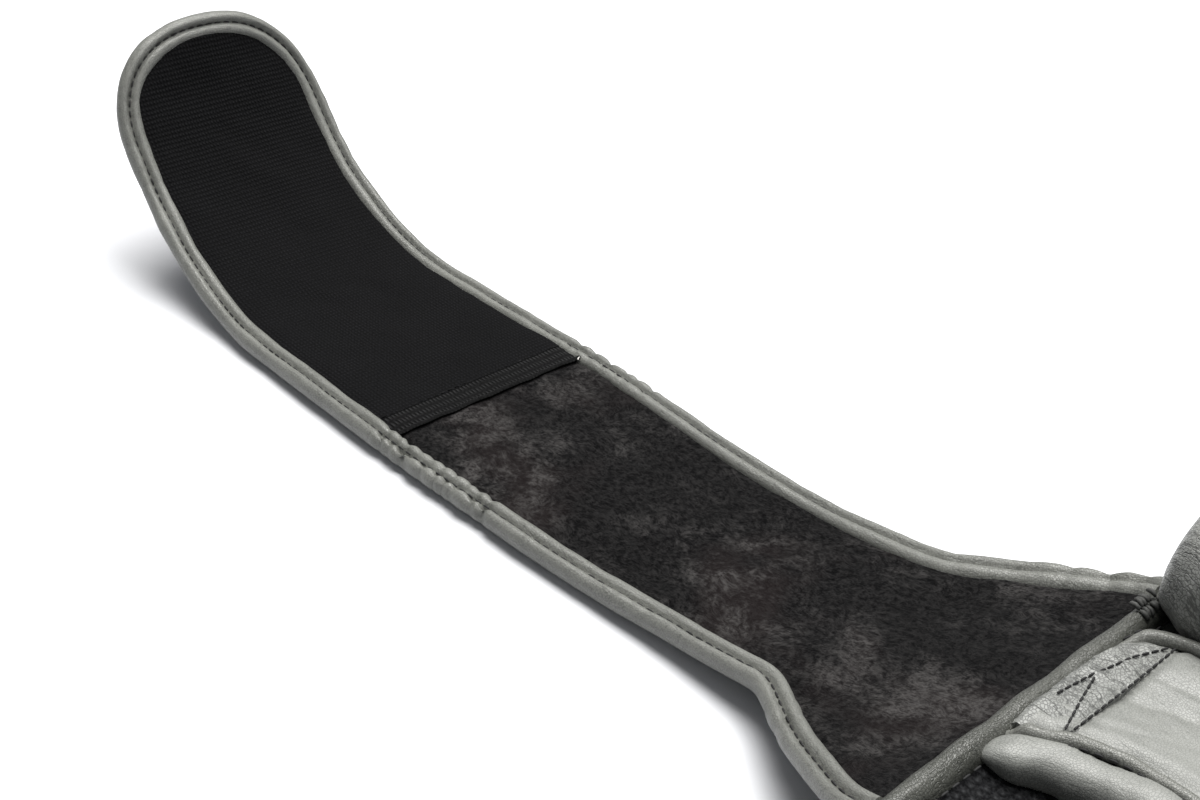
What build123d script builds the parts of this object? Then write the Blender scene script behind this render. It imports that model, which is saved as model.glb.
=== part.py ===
from build123d import *
import math
import os

# Leather groin protector (boxing), laid front face down and inside up.
# +X runs along the waist, +Y towards the abdomen, +Z up from the table. Millimetres.
# The origin is at the bottom centre of the whole object.

# ---- overall sizes -------------------------------------------------------------
BODY_HALF_WIDTH = 130.0     # centre line to the seam where a waist strap starts
TOP_RISE = 92.0             # strap centre line to the top edge
CROTCH_MARGIN = 19.0        # cup surround to the crotch end
CROTCH_WIDENING = 6.0       # crotch end's half width, more than the cup's
CROTCH_LENGTH = 46.0        # straight sides at the crotch end
CROTCH_RADIUS = 24.0

# ---- body: a flat middle with sides turned up ------------------------------------
FLAT_HALF_WIDTH = 40.0      # half of the flat stretch that rests on the table
SIDE_RADIUS = 250.0         # radius of the turned-up sides, on the outer face
TOP_CORNER_RADIUS = 38.0
HIP_MARGIN = 10.0           # strap root to the corner where the body starts to taper
HIP_RADIUS = 20.0
TAPER_RADIUS = 60.0
FILLET_SHARE = 0.95         # most of its straight run that a corner's rounding may use
COVER_T = 2.0               # leather front cover
FOAM_T = 6.0                # closed-cell foam behind the cover
LINING_T = 1.2              # open mesh lining
RIM_WIDTH = 5.0             # bound edge, seen from above
RIM_TOP = 10.5              # bound edge, height above the outer face
LAYER_GAP = 0.1             # glue or seam line between stacked layers
SIDE_OVERRUN = 10.0         # turned-up sides run on past the seam before trimming

# ---- inner face, as bands across the body (Y from the strap centre line) ---------
CHANNEL_LOW = -11.0         # leather channel panel that takes the strap load
CHANNEL_HIGH = 27.0
CHANNEL_T = 10.0            # padded
PIPING_DIAMETER = 3.4
BOLSTER_LOW = 30.5          # padded roll along the top edge
BOLSTER_HIGH = 84.0
BOLSTER_HEIGHT = 34.0       # above the foam
BOLSTER_END_MARGIN = 6.5    # roll's end to the body's edge
ROLL_LOW = -26.0            # small padded roll at the mouth of the mesh hollow
ROLL_HEIGHT = 12.0          # above the foam
ROLL_SHOULDER = 0.45        # share of a roll's height that stands straight
ROLL_END_ROUND = 0.8        # share of a roll's half width that its ends are rounded by
PANEL_MARGIN = 0.4          # between the bound edge and the inner face pieces
PATCH_LENGTH = 9.0          # cross-stitched patch at each strap root
PATCH_T = 1.2
PATCH_MARGIN = 0.6          # to the bound edge and to the channel panel's edges

# ---- cup ------------------------------------------------------------------------
CUP_MARGIN = 2.0            # lower roll to the cup surround
CUP_HALF_X = 52.0           # outside of the shell's rim
CUP_HALF_Y = 58.0
CUP_TOP = 40.0
CUP_WALL = 3.0
CUP_PAD_T = 3.0
CUP_SECTIONS = [(0.0, 0.50), (0.26, 0.82), (0.6, 0.96), (1.0, 1.0)]  # height share, size share
CUP_RIM_WIDTH = 9.0
CUP_RIM_HEIGHT = 8.0
CUP_CLEARANCE = 0.3
SURROUND_FOOT = 6.0         # width of the padded surround where it meets the lining
SURROUND_HEAD = 3.0         # its width below the rim roll
SURROUND_DROP = 3.0         # its top, below the cup's rim

# ---- waist straps ---------------------------------------------------------------
STRAP_WIDTH = 75.0
STRAP_T = 5.5
STRAP_LEATHER_T = 2.0
STRAP_FACE_T = 1.2          # suede, hook and loop facings
BINDING_WIDTH = 5.5
BINDING_PROUD = 1.2         # above the facing
BINDING_LIFT = 0.2          # above the table
ROOT_LIFT = 0.5             # strap's outer face above the body's outer face, at the seam
DROP_RADIUS = 334.5         # long bend from the root down to the table
DROP_OVERRUN = 1.0          # the strap's slope runs on past the seam before trimming
FLAT_RUN = 132.0
CURL_RADIUS = 93.9
CURL_ANGLE = 72.0
FOLD_FROM_ROOT = 178.0      # along X, root seam to the line where the hook facing starts
FLARE_LOW = 58.0            # widened root, below the strap centre line
FLARE_HIGH = 50.0
FLARE_RUN = 45.0
JOINT_GAP = 0.5             # between solids on the two sides of a fold line

# ---- leg straps -----------------------------------------------------------------
LEG_WIDTH = 36.0
LEG_T = 2.2
LEG_LENGTH = 170.0
LEG_LIFT = 2.2              # room under the elastic for the glide's middle bar
LEG_TAB_LENGTH = 30.0
LEG_TAB_T = 1.2
LEG_TAB_MARGIN = 2.0        # to the elastic's edges and end
TAB_LENGTH = 26.0           # leather tab at the crotch end
TAB_HALF_WIDTH = 52.0
TAB_T = 4.4
TAB_CORNER = 4.0
GLIDE_FROM_ROOT = 70.0
GLIDE_LENGTH = 26.0
GLIDE_BAR = 4.0
GLIDE_BAR_T = 1.6
GLIDE_CLEARANCE = 0.4

# ---- worked out -----------------------------------------------------------------
CUP_Y = ROLL_LOW - CUP_MARGIN - SURROUND_FOOT - CUP_HALF_Y    # from the strap centre line
CROTCH_DROP = CUP_HALF_Y + SURROUND_FOOT + CROTCH_MARGIN - CUP_Y
CROTCH_HALF_WIDTH = CUP_HALF_X + CROTCH_WIDENING
SIDE_RUN = BODY_HALF_WIDTH - FLAT_HALF_WIDTH
SIDE_RISE = SIDE_RADIUS - math.sqrt(SIDE_RADIUS**2 - SIDE_RUN**2)
DROP_ANGLE = math.degrees(math.acos(1 - (SIDE_RISE + ROOT_LIFT) / DROP_RADIUS))
LOW_REACH = CROTCH_DROP + LAYER_GAP + TAB_LENGTH / 2 + LEG_WIDTH / 2 + GLIDE_CLEARANCE + GLIDE_BAR
STRAP_Y = (LOW_REACH - TOP_RISE) / 2     # centre line of the waist straps
HALF_STRAP = STRAP_WIDTH / 2
DROP_END_X = BODY_HALF_WIDTH + DROP_RADIUS * math.sin(math.radians(DROP_ANGLE))
CURL_START_X = DROP_END_X + FLAT_RUN
FOLD_X = BODY_HALF_WIDTH + FOLD_FROM_ROOT
TOP_Y = STRAP_Y + TOP_RISE
CROTCH_Y = STRAP_Y - CROTCH_DROP
INNER_LEVEL = COVER_T + FOAM_T
CUT_DEPTH = 400.0           # larger than the object in Y or Z, for through cuts
CUP_BOTTOM = COVER_T + LAYER_GAP
LINING_LEVEL = INNER_LEVEL + LAYER_GAP
INNER_INSET = RIM_WIDTH + LAYER_GAP      # layers inside the bound edge
PANEL_INSET = RIM_WIDTH + PANEL_MARGIN   # inner face pieces inside the bound edge


def turn_up_sides(section):
    """Solid that runs a YZ section over the flat middle and up both sides of the body."""
    reach = BODY_HALF_WIDTH + SIDE_OVERRUN - FLAT_HALF_WIDTH
    side_angle = math.degrees(math.asin(reach / SIDE_RADIUS))
    extrude(section, amount=FLAT_HALF_WIDTH, both=True)
    side_axis = Axis((FLAT_HALF_WIDTH, 0, SIDE_RADIUS), (0, -1, 0))
    end_section = section.moved(Location((FLAT_HALF_WIDTH, 0, 0)))
    side = revolve(end_section, axis=side_axis, revolution_arc=side_angle, mode=Mode.PRIVATE)
    add(side)
    add(mirror(side, about=Plane.YZ, mode=Mode.PRIVATE))


def flat_section(low_y, high_y, low, high):
    """Rectangle in the YZ plane, Y from the strap centre line and Z from the outer face."""
    with BuildSketch(Plane.YZ) as section:
        with Locations((STRAP_Y + (low_y + high_y) / 2, (low + high) / 2)):
            Rectangle(high_y - low_y, high - low)
    return section.sketch


def body_outline(inset):
    """Plan of the body, moved in from its edge by inset."""
    hip_y = STRAP_Y - FLARE_LOW - HIP_MARGIN
    taper_y = CROTCH_Y + CROTCH_LENGTH
    corners = [
        (0, TOP_Y),
        (BODY_HALF_WIDTH, TOP_Y),
        (BODY_HALF_WIDTH, hip_y),
        (CROTCH_HALF_WIDTH, taper_y),
        (CROTCH_HALF_WIDTH, CROTCH_Y),
        (0, CROTCH_Y),
    ]
    taper_turn = math.atan2(BODY_HALF_WIDTH - CROTCH_HALF_WIDTH, hip_y - taper_y)
    taper_room = (CROTCH_LENGTH - CROTCH_RADIUS) / math.tan(taper_turn / 2)
    taper_radius = min(TAPER_RADIUS, FILLET_SHARE * taper_room)
    with BuildSketch() as plan:
        with BuildLine():
            FilletPolyline(*corners, radius=[TOP_CORNER_RADIUS, HIP_RADIUS, taper_radius, CROTCH_RADIUS])
            mirror(about=Plane.YZ)
        make_face()
        if inset:
            offset(amount=-inset, mode=Mode.REPLACE)
    return plan.sketch


def body_layer(low, high, inset, low_y=-CROTCH_DROP - SIDE_OVERRUN, high_y=TOP_RISE + SIDE_OVERRUN):
    """One layer of the body: a wrapped sheet trimmed to the body's plan."""
    turn_up_sides(flat_section(low_y, high_y, low, high))
    extrude(body_outline(inset), amount=CUT_DEPTH, mode=Mode.INTERSECT)


def cup_loft(grow, bottom, top):
    """Bowl-shaped solid of the cup, larger than its outside by grow."""
    with BuildPart() as bowl:
        for height_share, size_share in CUP_SECTIONS:
            with BuildSketch(Plane.XY.offset(bottom + (top - bottom) * height_share)):
                with Locations((0, STRAP_Y + CUP_Y)):
                    Ellipse(CUP_HALF_X * size_share + grow, CUP_HALF_Y * size_share + grow)
        loft()
    return bowl.part


def piping(centre_y):
    """Round cord across the body, level with the channel panel's top."""
    level = LINING_LEVEL + CHANNEL_T - PIPING_DIAMETER / 2
    with BuildSketch(Plane.YZ) as section:
        with Locations((STRAP_Y + centre_y, level)):
            Circle(PIPING_DIAMETER / 2)
    turn_up_sides(section.sketch)
    extrude(body_outline(PANEL_INSET), amount=CUT_DEPTH, mode=Mode.INTERSECT)


def padded_roll(low_y, high_y, height, half_width):
    """Padded roll with a rounded top, which follows the sides of the body."""
    middle_y = STRAP_Y + (low_y + high_y) / 2
    half = (high_y - low_y) / 2
    shoulder = LINING_LEVEL + height * ROLL_SHOULDER
    with BuildSketch(Plane.YZ) as section:
        with BuildLine():
            Polyline(
                (middle_y - half, shoulder),
                (middle_y - half, LINING_LEVEL),
                (middle_y + half, LINING_LEVEL),
                (middle_y + half, shoulder),
            )
            ThreePointArc(
                (middle_y - half, shoulder),
                (middle_y, LINING_LEVEL + height),
                (middle_y + half, shoulder),
            )
        make_face()
    turn_up_sides(section.sketch)
    with BuildSketch() as reach:
        with Locations((0, middle_y)):
            RectangleRounded(2 * half_width, 2 * half, half * ROLL_END_ROUND)
    extrude(reach.sketch, amount=CUT_DEPTH, mode=Mode.INTERSECT)


def save(part_builder, node_name):
    """Label one node and write its STEP file."""
    part_builder.part.label = node_name
    export_step(part_builder.part, "parts/" + node_name + ".step")


os.makedirs("parts", exist_ok=True)

# ==== body ======================================================================
with BuildPart() as outer_cover:
    body_layer(0, COVER_T, INNER_INSET)
save(outer_cover, "outer_cover")

cup_outside = cup_loft(0, CUP_BOTTOM, CUP_TOP)
cup_pocket = cup_loft(CUP_CLEARANCE, CUP_BOTTOM - CUP_CLEARANCE, CUP_TOP - CUP_CLEARANCE)
cup_inside = cup_loft(-CUP_WALL, CUP_BOTTOM + CUP_WALL, CUP_TOP + LAYER_GAP)
pad_outside = cup_loft(-CUP_WALL - LAYER_GAP, CUP_BOTTOM + CUP_WALL + LAYER_GAP, CUP_TOP)
pad_inside = cup_loft(
    -CUP_WALL - CUP_PAD_T, CUP_BOTTOM + CUP_WALL + CUP_PAD_T, CUP_TOP + LAYER_GAP
)

with BuildPart() as foam_core:
    body_layer(COVER_T + LAYER_GAP, INNER_LEVEL, INNER_INSET)
    add(cup_pocket, mode=Mode.SUBTRACT)
save(foam_core, "foam_core")

with BuildPart() as rim_binding:
    body_layer(BINDING_LIFT, RIM_TOP, 0)
    extrude(body_outline(RIM_WIDTH), amount=CUT_DEPTH, mode=Mode.SUBTRACT)
save(rim_binding, "rim_binding")

with BuildPart() as cup_shell:
    add(cup_outside)
    add(cup_inside, mode=Mode.SUBTRACT)
save(cup_shell, "cup_shell")

with BuildPart() as cup_pad:
    add(pad_outside)
    add(pad_inside, mode=Mode.SUBTRACT)
save(cup_pad, "cup_pad")

with BuildPart() as cup_rim:
    with BuildSketch(Plane.XY.offset(CUP_TOP + LAYER_GAP)):
        with Locations((0, STRAP_Y + CUP_Y)):
            Ellipse(CUP_HALF_X + CUP_RIM_WIDTH / 2 - CUP_WALL, CUP_HALF_Y + CUP_RIM_WIDTH / 2 - CUP_WALL)
            Ellipse(
                CUP_HALF_X - CUP_RIM_WIDTH / 2 - CUP_WALL,
                CUP_HALF_Y - CUP_RIM_WIDTH / 2 - CUP_WALL,
                mode=Mode.SUBTRACT,
            )
    extrude(amount=CUP_RIM_HEIGHT)
save(cup_rim, "cup_rim")

with BuildPart() as mesh_lining:
    body_layer(
        LINING_LEVEL,
        LINING_LEVEL + LINING_T,
        INNER_INSET,
        high_y=ROLL_LOW - LAYER_GAP,
    )
    add(cup_pocket, mode=Mode.SUBTRACT)
save(mesh_lining, "mesh_lining")

surround_level = LINING_LEVEL + LINING_T + LAYER_GAP
with BuildPart() as below_surround:
    body_layer(0, surround_level, 0)

with BuildPart() as cup_surround:
    for level, width in ((INNER_LEVEL, SURROUND_FOOT), (CUP_TOP - SURROUND_DROP, SURROUND_HEAD)):
        with BuildSketch(Plane.XY.offset(level)):
            with Locations((0, STRAP_Y + CUP_Y)):
                Ellipse(CUP_HALF_X + width, CUP_HALF_Y + width)
    loft()
    add(below_surround.part, mode=Mode.SUBTRACT)
    add(cup_pocket, mode=Mode.SUBTRACT)
save(cup_surround, "cup_surround")

# ---- pieces that lie across the body, above the foam -----------------------------
with BuildPart() as channel_panel:
    body_layer(LINING_LEVEL, LINING_LEVEL + CHANNEL_T, PANEL_INSET, CHANNEL_LOW, CHANNEL_HIGH)
save(channel_panel, "channel_panel")

with BuildPart() as upper_piping:
    piping(CHANNEL_HIGH + LAYER_GAP + PIPING_DIAMETER / 2)
save(upper_piping, "upper_piping")

with BuildPart() as lower_piping:
    piping(CHANNEL_LOW - LAYER_GAP - PIPING_DIAMETER / 2)
save(lower_piping, "lower_piping")

with BuildPart() as upper_bolster:
    bolster_half_width = BODY_HALF_WIDTH - BOLSTER_END_MARGIN
    padded_roll(BOLSTER_LOW + LAYER_GAP, BOLSTER_HIGH, BOLSTER_HEIGHT, bolster_half_width)
    extrude(body_outline(PANEL_INSET), amount=CUT_DEPTH, mode=Mode.INTERSECT)
save(upper_bolster, "upper_bolster")

roll_high = CHANNEL_LOW - PIPING_DIAMETER - 2 * LAYER_GAP
with BuildPart() as lower_roll:
    padded_roll(ROLL_LOW, roll_high, ROLL_HEIGHT, BODY_HALF_WIDTH - PANEL_INSET)
save(lower_roll, "lower_roll")

patch_level = LINING_LEVEL + CHANNEL_T + LAYER_GAP
for side_name, side_sign in (("left", -1), ("right", 1)):
    patch_x = side_sign * (BODY_HALF_WIDTH - PANEL_INSET - PATCH_MARGIN - PATCH_LENGTH / 2)
    with BuildPart() as patch:
        turn_up_sides(
            flat_section(
                CHANNEL_LOW + PATCH_MARGIN, CHANNEL_HIGH - PATCH_MARGIN, patch_level, patch_level + PATCH_T
            )
        )
        with BuildSketch() as patch_plan:
            with Locations((patch_x, STRAP_Y)):
                Rectangle(PATCH_LENGTH, CUT_DEPTH)
        extrude(patch_plan.sketch, amount=CUT_DEPTH, mode=Mode.INTERSECT)
    save(patch, side_name + "_patch")

with BuildPart() as crotch_tab:
    with BuildSketch(Plane.XY.offset(BINDING_LIFT)):
        with Locations((0, CROTCH_Y - LAYER_GAP - TAB_LENGTH / 2)):
            RectangleRounded(2 * TAB_HALF_WIDTH, TAB_LENGTH, TAB_CORNER)
    extrude(amount=TAB_T)
save(crotch_tab, "crotch_tab")


# ==== waist straps, drawn on the right side and mirrored for the left =============
def strap_band(high_depth, low_depth):
    """Strap-long solid whose faces lie at two depths below the strap's inner face."""
    drop_centre = (DROP_END_X, STRAP_T + DROP_RADIUS)
    curl_centre = (CURL_START_X, STRAP_T + CURL_RADIUS)
    start_angle = 270 - DROP_ANGLE - DROP_OVERRUN
    ends = []
    with BuildSketch(Plane.XZ) as side_view:
        with BuildLine():
            for depth in (high_depth, low_depth):
                drop_radius = DROP_RADIUS + depth
                drop = CenterArc(drop_centre, drop_radius, start_angle, DROP_ANGLE + DROP_OVERRUN)
                Line((DROP_END_X, STRAP_T - depth), (CURL_START_X, STRAP_T - depth))
                curl = CenterArc(curl_centre, CURL_RADIUS + depth, 270, CURL_ANGLE)
                ends.append((drop @ 0, curl @ 1))
            Line(ends[0][0], ends[1][0])
            Line(ends[0][1], ends[1][1])
        make_face()
    extrude(side_view.sketch, amount=CUT_DEPTH, both=True)


def root_plan(inset):
    """Plan of the root half, with the widened end at the body."""
    start_x = BODY_HALF_WIDTH + JOINT_GAP
    end_x = FOLD_X - JOINT_GAP / 2
    knee_x = BODY_HALF_WIDTH + FLARE_RUN
    low = STRAP_Y - HALF_STRAP + inset
    high = STRAP_Y + HALF_STRAP - inset
    with BuildSketch() as plan:
        with BuildLine():
            TangentArc((knee_x, low), (start_x, STRAP_Y - FLARE_LOW + inset), tangent=(-1, 0))
            Line((start_x, STRAP_Y - FLARE_LOW + inset), (start_x, STRAP_Y + FLARE_HIGH - inset))
            TangentArc((knee_x, high), (start_x, STRAP_Y + FLARE_HIGH - inset), tangent=(-1, 0))
            Polyline((knee_x, low), (end_x, low), (end_x, high), (knee_x, high))
        make_face()
    return plan.sketch


def tab_shape(inset):
    """Solid that trims the tab half to its straight sides and its round tip."""
    half_width = HALF_STRAP - inset
    round_angle = math.degrees(HALF_STRAP / CURL_RADIUS)
    centre_angle = math.radians(CURL_ANGLE - round_angle)
    centre_x = CURL_START_X + CURL_RADIUS * math.sin(centre_angle)
    centre_z = STRAP_T + CURL_RADIUS * (1 - math.cos(centre_angle))
    tip_slope = math.radians(CURL_ANGLE - round_angle / 2)
    along = Vector(math.cos(tip_slope), 0, math.sin(tip_slope))
    across = Vector(-math.sin(tip_slope), 0, math.cos(tip_slope))
    tip_plane = Plane(origin=(centre_x, STRAP_Y, centre_z), x_dir=along, z_dir=across)
    start_x = FOLD_X + JOINT_GAP / 2
    with BuildPart() as shape:
        with BuildSketch(tip_plane):
            with Locations((-CUT_DEPTH / 2, 0)):
                Rectangle(CUT_DEPTH, 2 * half_width)
            Circle(half_width)
        extrude(amount=CUT_DEPTH / 2, both=True)
        with BuildSketch() as beyond_fold:
            with Locations((start_x + CUT_DEPTH / 2, STRAP_Y)):
                Rectangle(CUT_DEPTH, CUT_DEPTH)
        extrude(beyond_fold.sketch, amount=CUT_DEPTH, both=True, mode=Mode.INTERSECT)
    return shape.part


def root_layer(high_depth, low_depth, inset):
    """One layer of the root half."""
    strap_band(high_depth, low_depth)
    extrude(root_plan(inset), amount=CUT_DEPTH, both=True, mode=Mode.INTERSECT)


def tab_layer(high_depth, low_depth, inset):
    """One layer of the tab half."""
    strap_band(high_depth, low_depth)
    add(tab_shape(inset), mode=Mode.INTERSECT)


layer_inset = BINDING_WIDTH + LAYER_GAP
face_bottom = STRAP_FACE_T + LAYER_GAP
core_bottom = STRAP_T - STRAP_LEATHER_T - LAYER_GAP
loop_top = STRAP_T - STRAP_FACE_T
loop_leather_top = loop_top - STRAP_LEATHER_T
binding_low = STRAP_T - BINDING_LIFT

with BuildPart() as root_face:
    root_layer(0, STRAP_FACE_T, layer_inset)

with BuildPart() as root_core:
    root_layer(face_bottom, core_bottom, layer_inset)

with BuildPart() as root_leather:
    root_layer(STRAP_T - STRAP_LEATHER_T, STRAP_T, layer_inset)

with BuildPart() as root_binding:
    root_layer(-BINDING_PROUD, binding_low, 0)
    extrude(root_plan(BINDING_WIDTH), amount=CUT_DEPTH, both=True, mode=Mode.SUBTRACT)

with BuildPart() as tab_face:
    tab_layer(0, STRAP_FACE_T, layer_inset)

with BuildPart() as tab_core:
    tab_layer(face_bottom, core_bottom, layer_inset)

with BuildPart() as tab_leather:
    tab_layer(STRAP_T - STRAP_LEATHER_T, STRAP_T, layer_inset)

with BuildPart() as tab_binding:
    tab_layer(-BINDING_PROUD, binding_low, 0)
    add(tab_shape(BINDING_WIDTH), mode=Mode.SUBTRACT)

# The right tab carries its loop facing on the outside, so its leather sits higher.
with BuildPart() as loop_core:
    tab_layer(face_bottom, loop_leather_top - LAYER_GAP, layer_inset)

with BuildPart() as loop_leather:
    tab_layer(loop_leather_top, loop_top - LAYER_GAP, layer_inset)

with BuildPart() as loop_panel:
    tab_layer(loop_top, STRAP_T, layer_inset)

right_strap_parts = {
    "right_strap_suede": root_face,
    "right_strap_core": root_core,
    "right_strap_leather": root_leather,
    "right_strap_binding": root_binding,
    "right_tab_suede": tab_face,
    "right_tab_core": loop_core,
    "right_tab_leather": loop_leather,
    "right_tab_loop_panel": loop_panel,
    "right_tab_binding": tab_binding,
}
left_strap_parts = {
    "left_strap_suede": root_face,
    "left_strap_core": root_core,
    "left_strap_leather": root_leather,
    "left_strap_binding": root_binding,
    "left_tab_hook_panel": tab_face,
    "left_tab_core": tab_core,
    "left_tab_leather": tab_leather,
    "left_tab_binding": tab_binding,
}
for node_name, right_piece in right_strap_parts.items():
    save(right_piece, node_name)
for node_name, right_piece in left_strap_parts.items():
    with BuildPart() as left_piece:
        add(mirror(right_piece.part, about=Plane.YZ, mode=Mode.PRIVATE))
    save(left_piece, node_name)

# ==== leg straps, drawn on the right side and mirrored for the left ================
leg_start_x = TAB_HALF_WIDTH + JOINT_GAP
leg_y = CROTCH_Y - LAYER_GAP - TAB_LENGTH / 2
leg_end_x = leg_start_x + LEG_LENGTH
leg_top = LEG_LIFT + LEG_T
glide_x = leg_start_x + GLIDE_FROM_ROOT
glide_top = leg_top + GLIDE_CLEARANCE + GLIDE_BAR_T
glide_inside = LEG_WIDTH + 2 * GLIDE_CLEARANCE

with BuildPart() as leg_band:
    with BuildSketch(Plane.XY.offset(LEG_LIFT)):
        with Locations(((leg_start_x + leg_end_x) / 2, leg_y)):
            Rectangle(LEG_LENGTH, LEG_WIDTH)
    extrude(amount=LEG_T)

with BuildPart() as leg_hook_tab:
    with BuildSketch(Plane.XY.offset(leg_top + LAYER_GAP)):
        with Locations((leg_end_x - LEG_TAB_LENGTH / 2 - LEG_TAB_MARGIN, leg_y)):
            RectangleRounded(LEG_TAB_LENGTH, LEG_WIDTH - 2 * LEG_TAB_MARGIN, TAB_CORNER)
    extrude(amount=LEG_TAB_T)

with BuildPart() as leg_glide:
    with BuildSketch(Plane.XY.offset(BINDING_LIFT)):
        with Locations((glide_x, leg_y)):
            Rectangle(GLIDE_LENGTH, glide_inside + 2 * GLIDE_BAR)
            Rectangle(GLIDE_LENGTH, glide_inside, mode=Mode.SUBTRACT)
    extrude(amount=glide_top - BINDING_LIFT)
    with BuildSketch(Plane.XY.offset(BINDING_LIFT)):
        with Locations((glide_x, leg_y)):
            Rectangle(GLIDE_BAR, glide_inside)
    extrude(amount=GLIDE_BAR_T)
    end_bar_offset = (GLIDE_LENGTH - GLIDE_BAR) / 2
    with BuildSketch(Plane.XY.offset(glide_top - GLIDE_BAR_T)):
        with Locations((glide_x - end_bar_offset, leg_y), (glide_x + end_bar_offset, leg_y)):
            Rectangle(GLIDE_BAR, glide_inside)
    extrude(amount=GLIDE_BAR_T)

leg_parts = {"leg_band": leg_band, "leg_hook_tab": leg_hook_tab, "leg_glide": leg_glide}
for node_name, right_piece in leg_parts.items():
    save(right_piece, "right_" + node_name)
    with BuildPart() as left_piece:
        add(mirror(right_piece.part, about=Plane.YZ, mode=Mode.PRIVATE))
    save(left_piece, "left_" + node_name)
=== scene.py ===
"""Boxing groin protector: the looks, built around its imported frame.

The protector lies front face down with its inside up, and its two waist straps run out along X.
Lengths are in metres and the frame's origin is at the bottom centre of the whole object.
"""

import logging
import math
from dataclasses import dataclass
from enum import Enum
from typing import Callable, Sequence

import bmesh
import bpy
import numpy as np
from mathutils import Matrix, Vector


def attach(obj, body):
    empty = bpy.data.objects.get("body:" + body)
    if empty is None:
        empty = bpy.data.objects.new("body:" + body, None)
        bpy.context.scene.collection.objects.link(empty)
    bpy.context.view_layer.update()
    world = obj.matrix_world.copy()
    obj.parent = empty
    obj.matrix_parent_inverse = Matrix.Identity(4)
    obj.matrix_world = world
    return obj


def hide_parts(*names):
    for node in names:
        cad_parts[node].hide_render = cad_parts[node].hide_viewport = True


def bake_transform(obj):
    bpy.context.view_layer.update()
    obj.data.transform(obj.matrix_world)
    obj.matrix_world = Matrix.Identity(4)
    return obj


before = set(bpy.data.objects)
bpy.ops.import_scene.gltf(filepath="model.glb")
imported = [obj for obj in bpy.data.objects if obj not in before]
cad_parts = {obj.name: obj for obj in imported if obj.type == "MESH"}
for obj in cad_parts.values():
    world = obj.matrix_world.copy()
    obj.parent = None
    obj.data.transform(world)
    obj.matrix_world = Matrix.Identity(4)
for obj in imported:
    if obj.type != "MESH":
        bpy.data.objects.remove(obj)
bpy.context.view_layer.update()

MM = 0.001
Line = Sequence[tuple[float, float]]
LOG = logging.getLogger("groin_protector")
MERGE_REACH = 0.01 * MM
SHARP_ANGLE = math.radians(62)
ROLL_GROOVE = 2.7 * MM


class Side(Enum):
    """Which way a mirrored sub-assembly runs along X."""

    LEFT = -1
    RIGHT = 1

    @property
    def word(self) -> str:
        """The side's name as node names spell it."""
        return self.name.lower()


class Cap(Enum):
    """How the two ends of a skinned run of rings are closed."""

    OPEN = "open"
    FAN = "fan"
    STRIP = "strip"


# ---- numbers and meshes -----------------------------------------------------------------------
def ripple(points: np.ndarray, wavelength: float, seed: int, waves: int = 18) -> np.ndarray:
    """A smooth random field, from plane waves in seeded directions.

    Args:
        points: Places to sample, with the coordinates on the last axis.
        wavelength: Typical distance between two crests, in the unit of the points.
        seed: Seed of the wave directions.
        waves: How many plane waves are added.

    Returns:
        Values of about -1 to 1, one for each point.
    """
    rng = np.random.default_rng(seed)
    directions = rng.normal(size=(waves, points.shape[-1]))
    directions /= np.linalg.norm(directions, axis=1)[:, None]
    numbers = 2 * np.pi / (wavelength * rng.uniform(0.7, 1.5, waves))
    phases = rng.uniform(0, 2 * np.pi, waves)
    total = np.zeros(points.shape[:-1])
    for direction, number, phase in zip(directions, numbers, phases):
        total += np.sin((points @ direction) * number + phase)
    return total / math.sqrt(waves)


def smooth_step(value: np.ndarray, low: float, high: float) -> np.ndarray:
    """A share from 0 at low to 1 at high, with soft ends."""
    share = np.clip((value - low) / (high - low), 0, 1)
    return share * share * (3 - 2 * share)


def smooth_line(at: np.ndarray, stations: Line, blur: float) -> np.ndarray:
    """Values along a line through a few stations, with its corners rounded.

    Args:
        at: Where the values are wanted.
        stations: Pairs of place and value.
        blur: Length over which a corner is rounded.

    Returns:
        One value for each place.
    """
    places = np.array([s[0] for s in stations])
    values = np.array([s[1] for s in stations])
    offsets = np.linspace(-1.5, 1.5, 13)
    weights = np.exp(-offsets**2)
    total = sum(w * np.interp(at + o * blur, places, values) for o, w in zip(offsets, weights))
    return total / weights.sum()


def resample(line: np.ndarray, step: float, closed: bool = False) -> np.ndarray:
    """Points of a polyline at even spacing.

    Args:
        line: The polyline's points, one in each row.
        step: Wanted spacing.
        closed: Whether the last point joins the first one.

    Returns:
        The new points. On a closed line the first point isn't repeated.
    """
    path = np.vstack([line, line[:1]]) if closed else line
    lengths = np.concatenate([[0], np.cumsum(np.linalg.norm(np.diff(path, axis=0), axis=1))])
    count = max(2, int(round(lengths[-1] / step)) + 1)
    wanted = np.linspace(0, lengths[-1], count)
    if closed:
        wanted = wanted[:-1]
    return np.stack([np.interp(wanted, lengths, path[:, i]) for i in range(path.shape[1])], -1)


def outward_of(line: np.ndarray, closed: bool = False) -> np.ndarray:
    """Unit normals on the right-hand side of a plane line, as it is walked."""
    if closed:
        along = np.roll(line, -1, axis=0) - np.roll(line, 1, axis=0)
    else:
        along = np.gradient(line, axis=0)
    along /= np.linalg.norm(along, axis=1)[:, None] + 1e-12
    return np.stack([along[:, 1], -along[:, 0]], -1)


def arc_lengths(line: np.ndarray) -> np.ndarray:
    """Distance from the start of a line to each of its points."""
    return np.concatenate([[0], np.cumsum(np.linalg.norm(np.diff(line, axis=0), axis=1))])


def grid(along: np.ndarray, across: np.ndarray) -> np.ndarray:
    """Every pair of two lists of values, as (along, across, 2)."""
    return np.stack(np.meshgrid(along, across, indexing="ij"), -1)


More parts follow.
